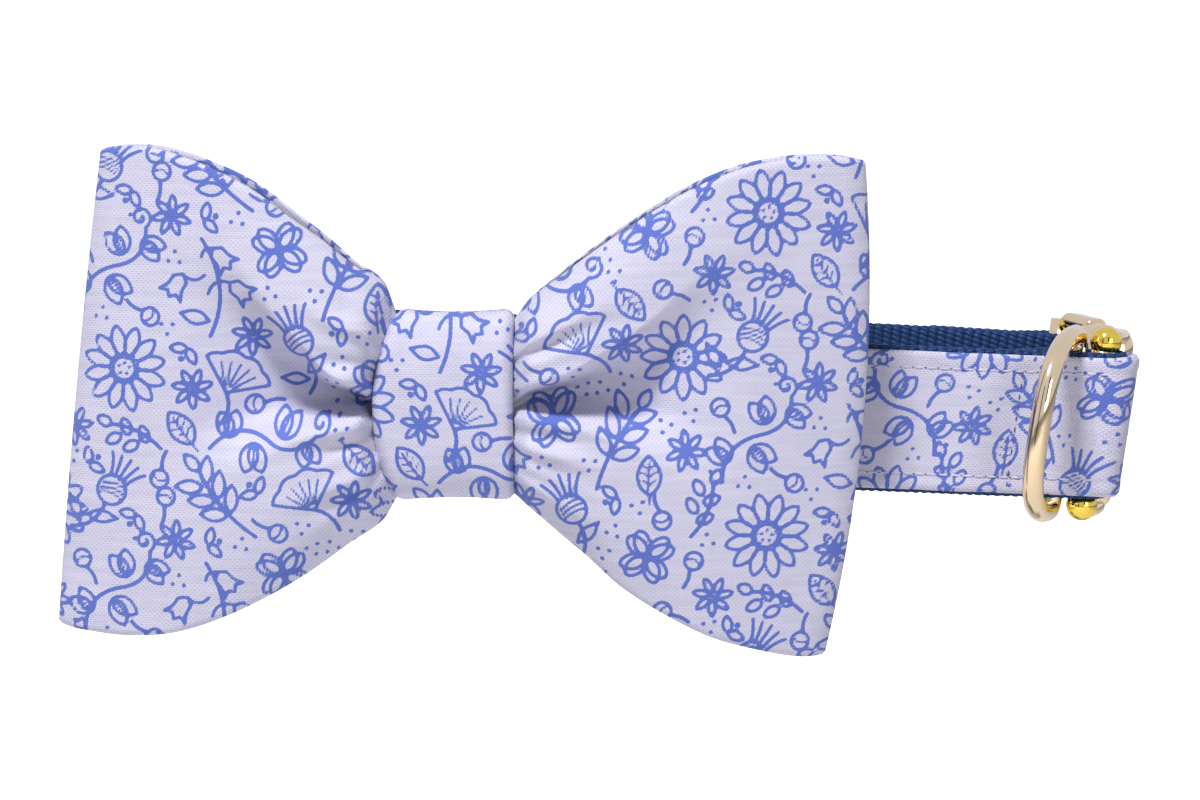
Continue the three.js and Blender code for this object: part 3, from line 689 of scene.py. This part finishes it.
def wing_piece(name, wing, shift_u, shift_v):
    """One wing: columns run from the knot's middle over the front, round the outer fold and back behind."""
    length = (wing["reach_top"] + wing["reach_bottom"]) / 2 - knot_half
    fold_share = 2 * fold_radius / length
    inside_knot = np.linspace(-0.2, 0, 9)[:-1]
    front = np.linspace(0, 1 - fold_share, 135)[:-1]
    nose = 1 - fold_share * (1 - np.sin(np.linspace(0, 1, 11) * np.pi / 2))
    behind = np.linspace(1 - fold_share, 0, 80)[1:]
    out = np.concatenate([inside_knot, front, nose, nose[:-1][::-1], behind, inside_knot[::-1]])
    layer = np.concatenate([np.ones(len(inside_knot) + len(front) + len(nose)),
                            -np.ones(len(nose) - 1 + len(behind) + len(inside_knot))])
    up = np.linspace(-1, 1, round(bow_height / wing_row_step))
    out, up = np.meshgrid(out, up, indexing="ij")
    layer = np.broadcast_to(layer[:, None], out.shape)
    face = wing_surface(wing, out, up, layer, 0)
    lining = wing_surface(wing, out, up, layer, bow_wall)
    points, faces, ring = sheet_shell(face, lining, False)
    chart_u = np.where(layer > 0, 0.0, back_print_shift)[:, :1] + ring[..., 0]
    chart_v = ring[..., 2]
    ink = print_distance(chart_u.ravel(), chart_v.ravel(), shift_u, shift_v)
    uv = np.stack([chart_u.ravel(), chart_v.ravel()], axis=1) * mm
    made = smooth_object(name, upright_to_place(points), faces, uv, ink)
    made.data.materials.append(cotton)
    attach(made, "collar")
    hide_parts("bow_body")
    return made


wing_piece("bow_wing_left", left_wing, 0.0, 3.0)
wing_piece("bow_wing_right", right_wing, 17.0, 31.0)


# Knot band: a strip of the same cotton, folded and wrapped round the bow's middle, sewn behind. It bulges
# at its left edge, where it lies against the fuller roll.
knot_height = 32.2
knot_lift = 0.35
knot_depth = 14.4
knot_wall = 1.6
knot_waist = 0.5
band_length = 88
band_shift_u = 21
band_shift_v = 40
fine_angle = np.linspace(0, 2 * np.pi, 4001)


def square(value):
    """A sine or cosine made squarish: its size raised to 0.62, with its own sign."""
    return np.sign(value) * np.abs(value) ** 0.62


fine_y, fine_z = knot_depth / 2 * square(np.cos(fine_angle)), knot_height / 2 * square(np.sin(fine_angle))
girth = np.concatenate([[0], np.cumsum(np.hypot(np.diff(fine_y), np.diff(fine_z)))])
around = np.interp(np.linspace(0, girth[-1], 205)[:-1], girth, fine_angle)
share = np.linspace(-1, 1, 58)
around, share = np.meshgrid(around, share, indexing="ij")


def knot_surface(shrink):
    """An oval with squarish corners, carried across the knot's width. Its edges turn in a little, its waist
    is lower than its ends, its left edge draws in towards the corners, and soft pulls run round it."""
    waist = knot_waist * (1 - share**2)
    edge = 0.9 * np.clip((np.abs(share) - 0.86) / 0.14, 0, 1) ** 2
    z = (knot_height / 2 - shrink - waist - edge * 0.5) * square(np.sin(around)) + knot_lift
    y = (knot_depth / 2 - shrink - edge * 0.8) * square(np.cos(around))
    high = (np.abs(z) / (knot_height / 2)) ** 2
    left = -knot_half + 3.9 * high
    x = left + (knot_half - left) * (share + 1) / 2
    pull = 0.16 * np.sin(x * 0.55 + 2.1 + np.sin(z * 0.22)) * np.exp(-((z + 2) / 14) ** 2)
    pull += 0.1 * np.sin(x * 1.3 + z * 0.12)
    return np.stack([x, np.where(y < 0, y - pull * (1 - edge), y), z], axis=-1)


band_points, band_faces, band_ring = sheet_shell(knot_surface(0), knot_surface(knot_wall), True)
wrapped = (around[:, :1] - 1.5 * np.pi) / (2 * np.pi) * band_length
band_u = band_ring[..., 0] + band_shift_u
band_v = np.where(band_ring[..., 1] < 0, band_ring[..., 2], wrapped + band_shift_v)
band_ink = print_distance(band_u.ravel(), band_v.ravel(), 3.0, 9.0)
knot = smooth_object("knot_wrap", upright_to_place(band_points), band_faces,
                     np.stack([band_u.ravel(), band_v.ravel()], axis=1) * mm, band_ink)
knot.data.materials.append(cotton)
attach(knot, "collar")
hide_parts("knot_band")


# Webbing: one navy nylon strip, an inch wide. It leaves the stitching, goes round the front bar, runs round
# the neck, goes round the rear bar and comes back on itself outside.
neck_half_width = 86
neck_half_depth = 22
webbing_width = 25.4
webbing_thickness = 1.6
rib_pitch = 1.6
yarn_pitch = 0.9
clearance = 0.3
bar_radius = 2.2
front_bar = np.array([82.9, -12.1])
rear_bar = np.array([79.5, 19.0])
fold_back_length = 15
rear_return_length = 24
rear_return_gap = 8
line_step = 0.5
end_slant = math.radians(5)
lean = math.tan(end_slant)
loop_stations = np.array([(0.78, -0.728), (0.5, -0.745), (0.1, -0.83), (-0.337, -0.864), (-0.7, -0.77),
                          (-0.9, -0.54), (-1, -0.08), (-0.9, 0.3), (-0.68, 0.36), (-0.25, 0.42), (0.2, 0.7),
                          (0.55, 0.95), (0.76, 0.8)]) * (neck_half_width, neck_half_depth)
layer_radius = bar_radius + clearance + webbing_thickness / 2
layer_pitch = webbing_thickness + clearance


def through(stations, step):
    """A smooth curve through stations: on each span a cubic whose end slopes are those of the centripetal
    curve through its neighbours, then evenly spaced by its length, step apart."""
    p = np.concatenate([[2 * stations[0] - stations[1]], stations, [2 * stations[-1] - stations[-2]]])
    gap = np.maximum(np.linalg.norm(np.diff(p, axis=0), axis=1), 1e-6) ** 0.5
    g0, g1, g2 = (gap[k:len(gap) - 2 + k, None] for k in range(3))
    p0, p1, p2, p3 = (p[k:len(p) - 3 + k] for k in range(4))
    leave = ((p1 - p0) / g0 - (p2 - p0) / (g0 + g1) + (p2 - p1) / g1) * g1
    reach = ((p2 - p1) / g1 - (p3 - p1) / (g1 + g2) + (p3 - p2) / g2) * g1
    t = np.linspace(0, 1, 60, endpoint=False)[None, :, None]
    fine = cubic(t, p1[:, None], leave[:, None], p2[:, None], reach[:, None]).reshape(-1, 2)
    return evenly(np.concatenate([fine, stations[-1:]]), step)


def line_lengths(line):
    """The length of a line of points up to each of them."""
    return np.concatenate([[0], np.cumsum(np.linalg.norm(np.diff(line, axis=0), axis=1))])


def evenly(line, step):
    """The same line with its points about step apart."""
    along = line_lengths(line)
    at = np.linspace(0, along[-1], max(2, round(along[-1] / step) + 1))
    return np.stack([np.interp(at, along, line[:, k]) for k in range(line.shape[1])], axis=1)


def half_turn(bar, start, turn):
    """Points on half a circle round a bar."""
    angle = start + np.linspace(0, turn, 24)
    return bar + layer_radius * np.stack([np.cos(angle), np.sin(angle)], axis=1)


front_face = front_bar[1] - layer_radius
rear_face = rear_bar[1] - layer_radius
meet_x = front_bar[0] - fold_back_length
fold_back_rise = 2 * layer_radius - layer_pitch
fold_back = np.array([(meet_x, front_face + layer_pitch + 0.1),
                      (meet_x + fold_back_length * 0.12, front_face + layer_pitch + 0.2),
                      (meet_x + fold_back_length * 0.4, front_face + layer_pitch + fold_back_rise * 0.86),
                      (meet_x + fold_back_length * 0.6, front_bar[1] + layer_radius),
                      (front_bar[0], front_bar[1] + layer_radius)])
loop_line = through(np.concatenate([[(front_bar[0], front_face),
                                     (front_bar[0] - fold_back_length * 0.4, front_face)], loop_stations,
                                    [(rear_bar[0] - rear_return_length * 0.25, rear_face + 0.25),
                                     (rear_bar[0], rear_face)]]), line_step)
returning = loop_line[(loop_line[:, 1] > 0) & (loop_line[:, 0] > rear_bar[0] - rear_return_length)
                      & (loop_line[:, 0] < rear_bar[0] - rear_return_gap)][::-1] + (0, layer_pitch + 0.3)
strap_line = evenly(np.concatenate([fold_back[:-1], half_turn(front_bar, math.pi / 2, -math.pi),
                                    loop_line[1:-1], half_turn(rear_bar, -math.pi / 2, math.pi), returning]),
                    line_step)


def strap_points(line, off, z):
    """Points beside a plan line, off to its left and z high, arrays of the same shape: the line's own normal
    times off, then the slant of the strap's end, which moves a point along X by its height."""
    along = np.gradient(line, axis=0)
    along /= np.linalg.norm(along, axis=1, keepdims=True)
    x = line[:, :1] - along[:, 1:] * off
    y = line[:, 1:] + along[:, :1] * off
    x = x + z * lean * smooth_step(x, 30, 66)
    return np.stack([x, y, z + 0 * x], axis=-1)


def webbing_material():
    """Nylon threads: broad ribs across the strap, each of short slanting yarns, their colour painted lighter
    on the crowns and darker in the grooves (a painted highlight and painted shade), with fine fibre flecks.
    """
    material, tree, shader = new_material("navy_webbing")
    uv = tree.nodes.new("ShaderNodeUVMap")
    uv.uv_map = "cloth"
    split = tree.nodes.new("ShaderNodeSeparateXYZ")
    tree.links.new(uv.outputs[0], split.inputs[0])
    rib = node_maths(tree, "ABSOLUTE", node_maths(tree, "SINE", node_maths(
        tree, "MULTIPLY", split.outputs[0], math.pi / (rib_pitch * mm))))
    row = node_maths(tree, "MULTIPLY", split.outputs[1], math.pi / (yarn_pitch * mm))
    lengthwise = node_maths(tree, "MULTIPLY", split.outputs[0], math.pi / (2 * rib_pitch * mm))
    slant = node_maths(tree, "ADD", row, lengthwise)
    yarn = node_maths(tree, "ABSOLUTE", node_maths(tree, "SINE", slant))
    height = node_maths(tree, "MULTIPLY_ADD", yarn, 0.55, node_maths(tree, "POWER", rib, 0.6))
    fibre = object_noise(tree, 1500)
    # Painted highlight and shade: the navy goes from dark to light with the ribs' height, times a fine fibre
    # noise.
    painted_rib_light_and_fibre = node_maths(tree, "MULTIPLY", height, node_maths(tree, "MULTIPLY_ADD", fibre, 0.9, 0.05))
    colour = mixed_colour(tree, painted_rib_light_and_fibre, (0.001, 0.007, 0.034), (0.006, 0.045, 0.17))
    tree.links.new(colour, shader.inputs["Base Color"])
    tree.links.new(node_maths(tree, "MULTIPLY_ADD", fibre, 0.2, 0.42), shader.inputs["Roughness"])
    shader.inputs["Specular IOR Level"].default_value = 0.22
    bumped(tree, shader, height, 0.9, 0.00028)
    return material


navy = webbing_material()
web_rows = np.linspace(-1, 1, 33)
web_lengths = line_lengths(strap_line)[:, None]
edge_wave = 0.16 * np.abs(np.sin(np.pi * web_lengths / rib_pitch)) * np.abs(web_rows) ** 8 * np.sign(web_rows)
web_z = web_rows * (webbing_width / 2 - 0.75) + edge_wave
swell = 0.07 * (np.abs(np.sin(np.pi * web_lengths / rib_pitch)) - 0.6) * np.ones_like(web_rows)
half_web = webbing_thickness / 2 - 0.04
web_points, web_faces, web_ring = sheet_shell(strap_points(strap_line, half_web + swell, web_z),
                                              strap_points(strap_line, -half_web - swell, web_z), False)
web_u = np.broadcast_to(web_lengths, web_ring.shape[:2])
web_uv = np.stack([web_u.ravel(), web_ring[..., 2].ravel()], axis=1) * mm
webbing = smooth_object("webbing_strap", web_points * mm, web_faces, web_uv)
webbing.data.materials.append(navy)
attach(webbing, "collar")
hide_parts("webbing")


# Strap cover: the same printed cotton, its edges turned under, sewn flat on the webbing's outside with a row
# of stitches along each edge. It goes round the front fold with the webbing and stops short of the rear one.
cover_width = 24.2
cover_thickness = 1.0
stitch_inset = 2.9
stitch_pitch = 2.1
cover_stop = rear_bar[0] - rear_return_length - 4
past_front = np.flatnonzero((strap_line[:, 1] > 0) & (strap_line[:, 0] > cover_stop)
                            & (np.arange(len(strap_line)) > 200))[0]
cover_line = evenly(strap_line[:past_front], 0.45)
cover_rows = np.linspace(-1, 1, 53)
cover_lengths = line_lengths(cover_line)[:, None]
cover_z = cover_rows * (cover_width / 2 - cover_thickness / 2)
sewn = cover_width / 2 - stitch_inset
dip = np.exp(-((np.abs(cover_z) - sewn) / 0.55) ** 2)
pucker = 0.13 * dip * (0.65 + 0.35 * np.cos(2 * np.pi * cover_lengths / stitch_pitch))
puff = 0.1 * np.exp(-((np.abs(cover_z) - sewn - 1.5) / 0.8) ** 2)
ripple = 0.07 * np.sin(cover_lengths * 0.42 + 0.1 * cover_z) * np.sin(cover_lengths * 0.13 + 1.3)
cover_inner = webbing_thickness / 2 + clearance
fold_puff = 0.8 * smooth_step(cover_line[:, :1], front_bar[0], front_bar[0] + 3.5)
cover_out = cover_inner + cover_thickness - 0.1 + puff + ripple - pucker + fold_puff
cover_points, cover_faces, cover_ring = sheet_shell(
    strap_points(cover_line, cover_out, cover_z),
    strap_points(cover_line, np.full_like(cover_out, cover_inner), cover_z), False)
cover_u = np.broadcast_to(cover_lengths, cover_ring.shape[:2]).ravel()
cover_v = cover_ring[..., 2].ravel()
cover_uv = np.stack([cover_u, cover_v], axis=1) * mm
cover = smooth_object("strap_covering", cover_points * mm, cover_faces, cover_uv,
                      print_distance(cover_u, cover_v, 9.0, 25.0))
cover.data.materials.append(cotton)
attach(cover, "collar")
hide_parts("strap_cover")


# Stitches: pale thread on the cotton's face, with navy bobbin thread showing as a dot where each stitch
# goes down. Two rows run along the strap, and one row of navy stitches crosses it at the leash ring's fold.
def plain_thread(name, colour):
    """Thread: one colour with fine darker flecks over Object coordinates."""
    material, tree, shader = new_material(name)
    dark = tuple(0.6 * channel for channel in colour)
    tree.links.new(mixed_colour(tree, object_noise(tree, 3500), dark, colour), shader.inputs["Base Color"])
    shader.inputs["Roughness"].default_value = 0.6
    return material


weld_distance = 0.002 * mm


def beads(name, centres, along, up, size, material, slot):
    """Many small ellipsoids in one mesh: a sphere's grid scaled by size on the axes along, up and their
    product at each centre."""
    a = np.linspace(0, np.pi, 6)[:, None]
    b = np.linspace(0, 2 * np.pi, 9)[None, :-1]
    ball = np.stack([np.cos(a) + 0 * b, np.sin(a) * np.cos(b), np.sin(a) * np.sin(b)], axis=-1)
    ball = ball.reshape(-1, 3) * size
    third = np.cross(along, up)
    points = (centres[:, None] + ball[None, :, :1] * along[:, None] + ball[None, :, 1:2] * up[:, None]
              + ball[None, :, 2:] * third[:, None])
    first_points = (np.arange(len(centres)) * len(ball))[:, None, None]
    faces = (tube_faces(a.shape[0], b.shape[1], False)[None] + first_points).reshape(-1, 4)
    made = smooth_object(name, points.reshape(-1, 3) * mm, faces)
    weld = made.modifiers.new("close_poles", "WELD")
    weld.merge_threshold = weld_distance
    made.data.materials.append(material)
    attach(made, "collar")
    return made


def seam(stations, z):
    """Stitch centres, directions and outward normals at lengths along the cover, at height z."""
    line = np.stack([np.interp(stations, cover_lengths[:, 0], cover_line[:, k]) for k in range(2)], axis=1)
    face = np.full((len(line), 1), cover_inner + cover_thickness - 0.12)
    surface = strap_points(line, face, np.full((1, 1), z))[:, 0]
    along = np.gradient(surface, axis=0)
    along /= np.linalg.norm(along, axis=1, keepdims=True)
    up = np.cross(along, np.array([0, 0, 1.0]))
    up /= np.linalg.norm(up, axis=1, keepdims=True)
    return surface, along, up


pale_thread = plain_thread("pale_thread", (0.60, 0.58, 0.76))
navy_thread = plain_thread("navy_thread", (0.07, 0.09, 0.24))
stations = np.arange(2.0, cover_lengths[-1, 0] - 2, stitch_pitch)
rows = [seam(stations, z) for z in (-sewn, sewn)]
beads("edge_stitches", *(np.concatenate(parts) for parts in zip(*rows)), (0.82, 0.14, 0.18), pale_thread,
      "printed_cotton")
rows = [seam(stations + stitch_pitch / 2, z) for z in (-sewn, sewn)]
beads("bobbin_dots", *(np.concatenate(parts) for parts in zip(*rows)), (0.16, 0.12, 0.15), navy_thread,
      "navy_webbing")
bar_tack_x = 68.6
tack_z = np.arange(-10.4, 10.5, 1.9)
front_at = np.array([np.interp(bar_tack_x, loop_line[:120, 0][::-1], loop_line[:120, 1][::-1])])
tack_y = front_at - cover_inner - cover_thickness + 0.05
tack = np.stack([bar_tack_x + tack_z * lean, np.full_like(tack_z, tack_y[0]), tack_z], axis=1)
tack_along = np.tile([lean, 0, 1.0], (len(tack), 1)) / math.hypot(1, lean)
beads("fold_stitches", tack, tack_along, np.tile([0, -1.0, 0], (len(tack), 1)), (0.5, 0.12, 0.14),
      navy_thread, "navy_webbing")


# Keeper: a flat elastic loop sewn to the knot's back, which slides on the strap behind the bow.
keeper_low, keeper_high = (np.array(corner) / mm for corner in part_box("keeper_loop"))
keeper_mid = (keeper_low + keeper_high) / 2
angle = np.linspace(0, 2 * np.pi, 121)[:-1]
ring_share = np.linspace(-1, 1, 31)


def keeper_surface(shrink):
    """A rounded rectangle round the strap, carried across the elastic's width, with fine lengthwise ribs."""
    half = (keeper_high - keeper_low) / 2 - shrink
    power = 0.12
    y = half[1] * np.sign(np.cos(angle)) * np.abs(np.cos(angle)) ** power
    z = half[2] * np.sign(np.sin(angle)) * np.abs(np.sin(angle)) ** power
    rib = 0.05 * np.cos(ring_share * 26) if shrink == 0 else 0 * ring_share
    x = ring_share * ((keeper_high - keeper_low)[0] / 2 - 0.3)
    return np.stack([np.broadcast_to(x, (len(angle), len(x))), y[:, None] * (1 - 0.02 + 0.02 * rib),
                     z[:, None] * (1 - 0.002 * (1 + rib))], axis=-1) + keeper_mid


keeper_points, keeper_faces, keeper_ring = sheet_shell(keeper_surface(0), keeper_surface(1.0), True)
keeper_uv = np.stack([keeper_ring[..., 2].ravel(), keeper_ring[..., 0].ravel()], axis=1) * mm
keeper = smooth_object("elastic_keeper", keeper_points * mm, keeper_faces, keeper_uv)
keeper.data.materials.append(navy)
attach(keeper, "collar")
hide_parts("keeper_loop")


# Polished pale gold: the cast metal's plating, yellower on the buckle's balls, with soft hollows in its
# polish and faint rubbed marks.
def gold_material():
    """Metal whose colour and bumps follow a broad noise, its roughness a fine one and its yellow the ball
    attribute."""
    material, tree, shader = new_material("pale_gold")
    cloud = object_noise(tree, 110, 3)
    scuff = object_noise(tree, 900, 5)
    ball = tree.nodes.new("ShaderNodeAttribute")
    ball.attribute_name = "ball"
    pale = mixed_colour(tree, cloud, (0.75, 0.575, 0.36), (0.84, 0.665, 0.44))
    colour = mixed_colour(tree, ball.outputs["Fac"], pale, (0.84, 0.60, 0.10))
    tree.links.new(colour, shader.inputs["Base Color"])
    shader.inputs["Metallic"].default_value = 1
    tree.links.new(node_maths(tree, "MULTIPLY_ADD", scuff, 0.1, 0.05), shader.inputs["Roughness"])
    bumped(tree, shader, cloud, 0.12, 0.0003)
    return material


gold = gold_material()


# Leash ring: a cast D, its straight bar held in the strap's fold, its bow standing out towards the viewer
# and leaning to the left.
wire_radius = 1.9
ring_inner_half = 13.5
ring_length = 18
ring_bar = np.array([front_bar[0] - 5.2, front_bar[1], 0])
ring_swing = math.radians(21)
ring_lean = math.radians(5.8)
ring_power = 2 / 2.8


def closed_wire(line, radius, sides, flatten):
    """Rings of points round a closed plane line in the YZ plane: a circle on the line's own normal and X,
    squeezed by flatten across the plane."""
    along = np.roll(line, -1, axis=0) - np.roll(line, 1, axis=0)
    along /= np.linalg.norm(along, axis=1, keepdims=True)
    normal = np.stack([0 * along[:, 0], -along[:, 2], along[:, 1]], axis=1)
    a = np.linspace(0, 2 * np.pi, sides + 1)[:-1]
    return line[:, None] + radius * (np.cos(a)[None, :, None] * normal[:, None]
                                     + flatten * np.sin(a)[None, :, None] * np.array([1.0, 0, 0]))


def lean_turn(points, pivot_x, swing, slant):
    """Points turned by swing about Z, then by slant about Y, and shifted by pivot_x along X."""
    x, y = turned(points, 0, 0, swing).T
    x, z = turned(np.stack([x, points[:, 2]], axis=1), 0, 0, -slant).T
    return np.stack([x + pivot_x, y, z], axis=1)


half_ring = ring_inner_half + wire_radius
bend = np.linspace(-np.pi / 2, np.pi / 2, 400)
arch = np.stack([0 * bend, -ring_length * np.abs(np.cos(bend)) ** ring_power,
                 half_ring * np.sign(np.sin(bend)) * np.abs(np.sin(bend)) ** ring_power], axis=1)
corner = 1.6
quarter = np.linspace(0, np.pi / 2, 12)[:, None]
arch = arch[arch[:, 1] < -corner]
upper_corner = np.concatenate([0 * quarter, -corner + corner * np.sin(quarter),
                               half_ring - corner + corner * np.cos(quarter)], axis=1)
outline = np.concatenate([arch, upper_corner, upper_corner[::-1] * (1, 1, -1)])
outline = evenly(np.concatenate([outline, outline[:1]]), 0.42)[:-1]
wire = closed_wire(outline, wire_radius, 36, 0.94)
ring_points = lean_turn(wire.reshape(-1, 3), ring_bar[0], -ring_swing, ring_lean) + (0, ring_bar[1], 0)
ring = smooth_object("cast_ring", ring_points * mm, tube_faces(len(outline), 36, True))
ring.data.materials.append(gold)
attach(ring, "ring")
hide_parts("leash_ring")


# Buckle: two halves of a cast side-release buckle, shut. Each has a round bar with ball ends inside a strap
# fold, an arm over and under the strap, and half of the bulging body.
buckle_bulge = 5.2
buckle_half_height = 15.8
knob_centre = 14.4
arm_inner = webbing_width / 2 + 1.1


def buckle_middle(along):
    """The body's middle line in plan: straight between the bars, pushed along X by a sine's power."""
    line = front_bar + (rear_bar - front_bar) * along[:, None]
    return line + np.stack([buckle_bulge * np.sin(np.pi * np.clip(along, 0, 1)) ** 0.8, 0 * along], axis=1)


def plan_bar(start, end, half_width, low, high, rounding):
    """A bar that follows the body's plan: each section is a rectangle of half_width by low to high with
    rounded corners, and the end sections shrink over the rounding, so the ends are rounded too."""
    length = np.linalg.norm(rear_bar - front_bar)
    tip = rounding / length
    ease = np.linspace(0, np.pi / 2, 7)
    along = np.concatenate([start + tip * (1 - np.cos(ease)), np.linspace(start + tip, end - tip, 26)[1:-1],
                            end - tip * (1 - np.cos(ease[::-1]))])
    shrink = rounding * np.concatenate([1 - np.sin(ease), np.zeros(24), 1 - np.sin(ease[::-1])])
    middle = buckle_middle(along)
    ahead = buckle_middle(along + 0.01) - buckle_middle(along - 0.01)
    ahead /= np.linalg.norm(ahead, axis=1, keepdims=True)
    side = np.stack([-ahead[:, 1], ahead[:, 0]], axis=1)
    a = np.linspace(0, 2 * np.pi, 49)[:-1]
    cx, cz = np.sign(np.cos(a)), np.sign(np.sin(a))
    half_height = (high - low) / 2
    off = cx * (half_width - rounding) + rounding * np.cos(a)
    up = cz * (half_height - rounding) + rounding * np.sin(a)
    scale_off = (half_width - shrink)[:, None] / half_width
    scale_up = (half_height - shrink)[:, None] / half_height
    xy = middle[:, None] + side[:, None] * (off * scale_off)[..., None]
    return capped(np.concatenate([xy, ((low + high) / 2 + up * scale_up)[..., None]], axis=2))


def capped(rings):
    """A closed tube from rings of points: its two end rings are closed on their middles."""
    count = rings.shape[1]
    first = np.repeat(rings[:1].mean(1, keepdims=True), count, axis=1)
    last = np.repeat(rings[-1:].mean(1, keepdims=True), count, axis=1)
    rings = np.concatenate([first, rings, last])
    return rings.reshape(-1, 3), tube_faces(len(rings), count, False)


def ball_end(bar, radius, half_height, z):
    """A slightly flattened ball on a bar's end."""
    a = np.linspace(-np.pi / 2, np.pi / 2, 25)[:, None]
    b = np.linspace(0, 2 * np.pi, 37)[None, :-1]
    wide = radius * np.cos(a)
    high = half_height * np.sin(a)
    rings = np.stack([bar[0] + wide * np.cos(b), bar[1] + wide * np.sin(b), z + high + 0 * b], axis=-1)
    return capped(rings[1:-1])


def round_bar(bar, half):
    """A round bar upright at bar, half its length above and below the strap's middle."""
    a = np.linspace(0, 2 * np.pi, 37)[:-1]
    rings = np.stack([np.stack([bar[0] + bar_radius * np.cos(a), bar[1] + bar_radius * np.sin(a),
                                np.full_like(a, z)], axis=1) for z in np.linspace(-half, half, 5)])
    return capped(rings)


def joined(parts):
    """Several closed shapes as one array of points and one of quads."""
    points, faces, start = [], [], 0
    for part_points, part_faces in parts:
        a, b, c, d = (part_points[part_faces[:, k]] for k in range(4))
        inside_out = (a * np.cross(b, c)).sum() + (a * np.cross(c, d)).sum() < 0
        faces.append((part_faces[:, ::-1] if inside_out else part_faces) + start)
        points.append(part_points)
        start += len(part_points)
    return np.concatenate(points), np.concatenate(faces)


def buckle_part(name, node, bar, knob, knob_half, knob_shift, knob_height, start, end, arm_start, arm_end):
    """Half of the buckle: a bar, the body from start to end of the way between the bars, and at each end of
    the bar a ball knob wide and knob_half high and an arm from arm_start to arm_end."""
    parts = [round_bar(bar, arm_inner + 1),
             plan_bar(start, end, 3.0, -buckle_half_height, buckle_half_height, 2.6)]
    ball_parts = (2, 4)
    for side in (-1, 1):
        low = arm_inner if side > 0 else -arm_inner - 2.6
        parts.append(ball_end(bar + knob_shift, knob, knob_half, side * knob_height))
        parts.append(plan_bar(arm_start, arm_end, 2.2, low, low + 2.6, 1.25))
    points, faces = joined(parts)
    points = lean_turn(points - (front_bar[0], 0, 0), front_bar[0], 0, end_slant)
    made = smooth_object(name, points * mm, faces)
    balls = np.concatenate([np.full(len(part[0]), k in ball_parts, float) for k, part in enumerate(parts)])
    made.data.attributes.new("ball", "FLOAT", "POINT").data.foreach_set("value", balls.astype(np.float32))
    weld = made.modifiers.new("close_ends", "WELD")
    weld.merge_threshold = weld_distance
    made.data.materials.append(gold)
    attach(made, "collar")
    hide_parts(node)
    return made


buckle_part("buckle_front_half", "buckle_socket", front_bar, 2.7, 2.7, (0, 0), knob_centre,
            0.195, 0.53, 0.02, 0.3)
buckle_part("buckle_rear_half", "buckle_plug", rear_bar, 2.2, 2.1, (1.2, -1.4), knob_centre - 0.4,
            0.54, 0.835, 0.72, 0.98)
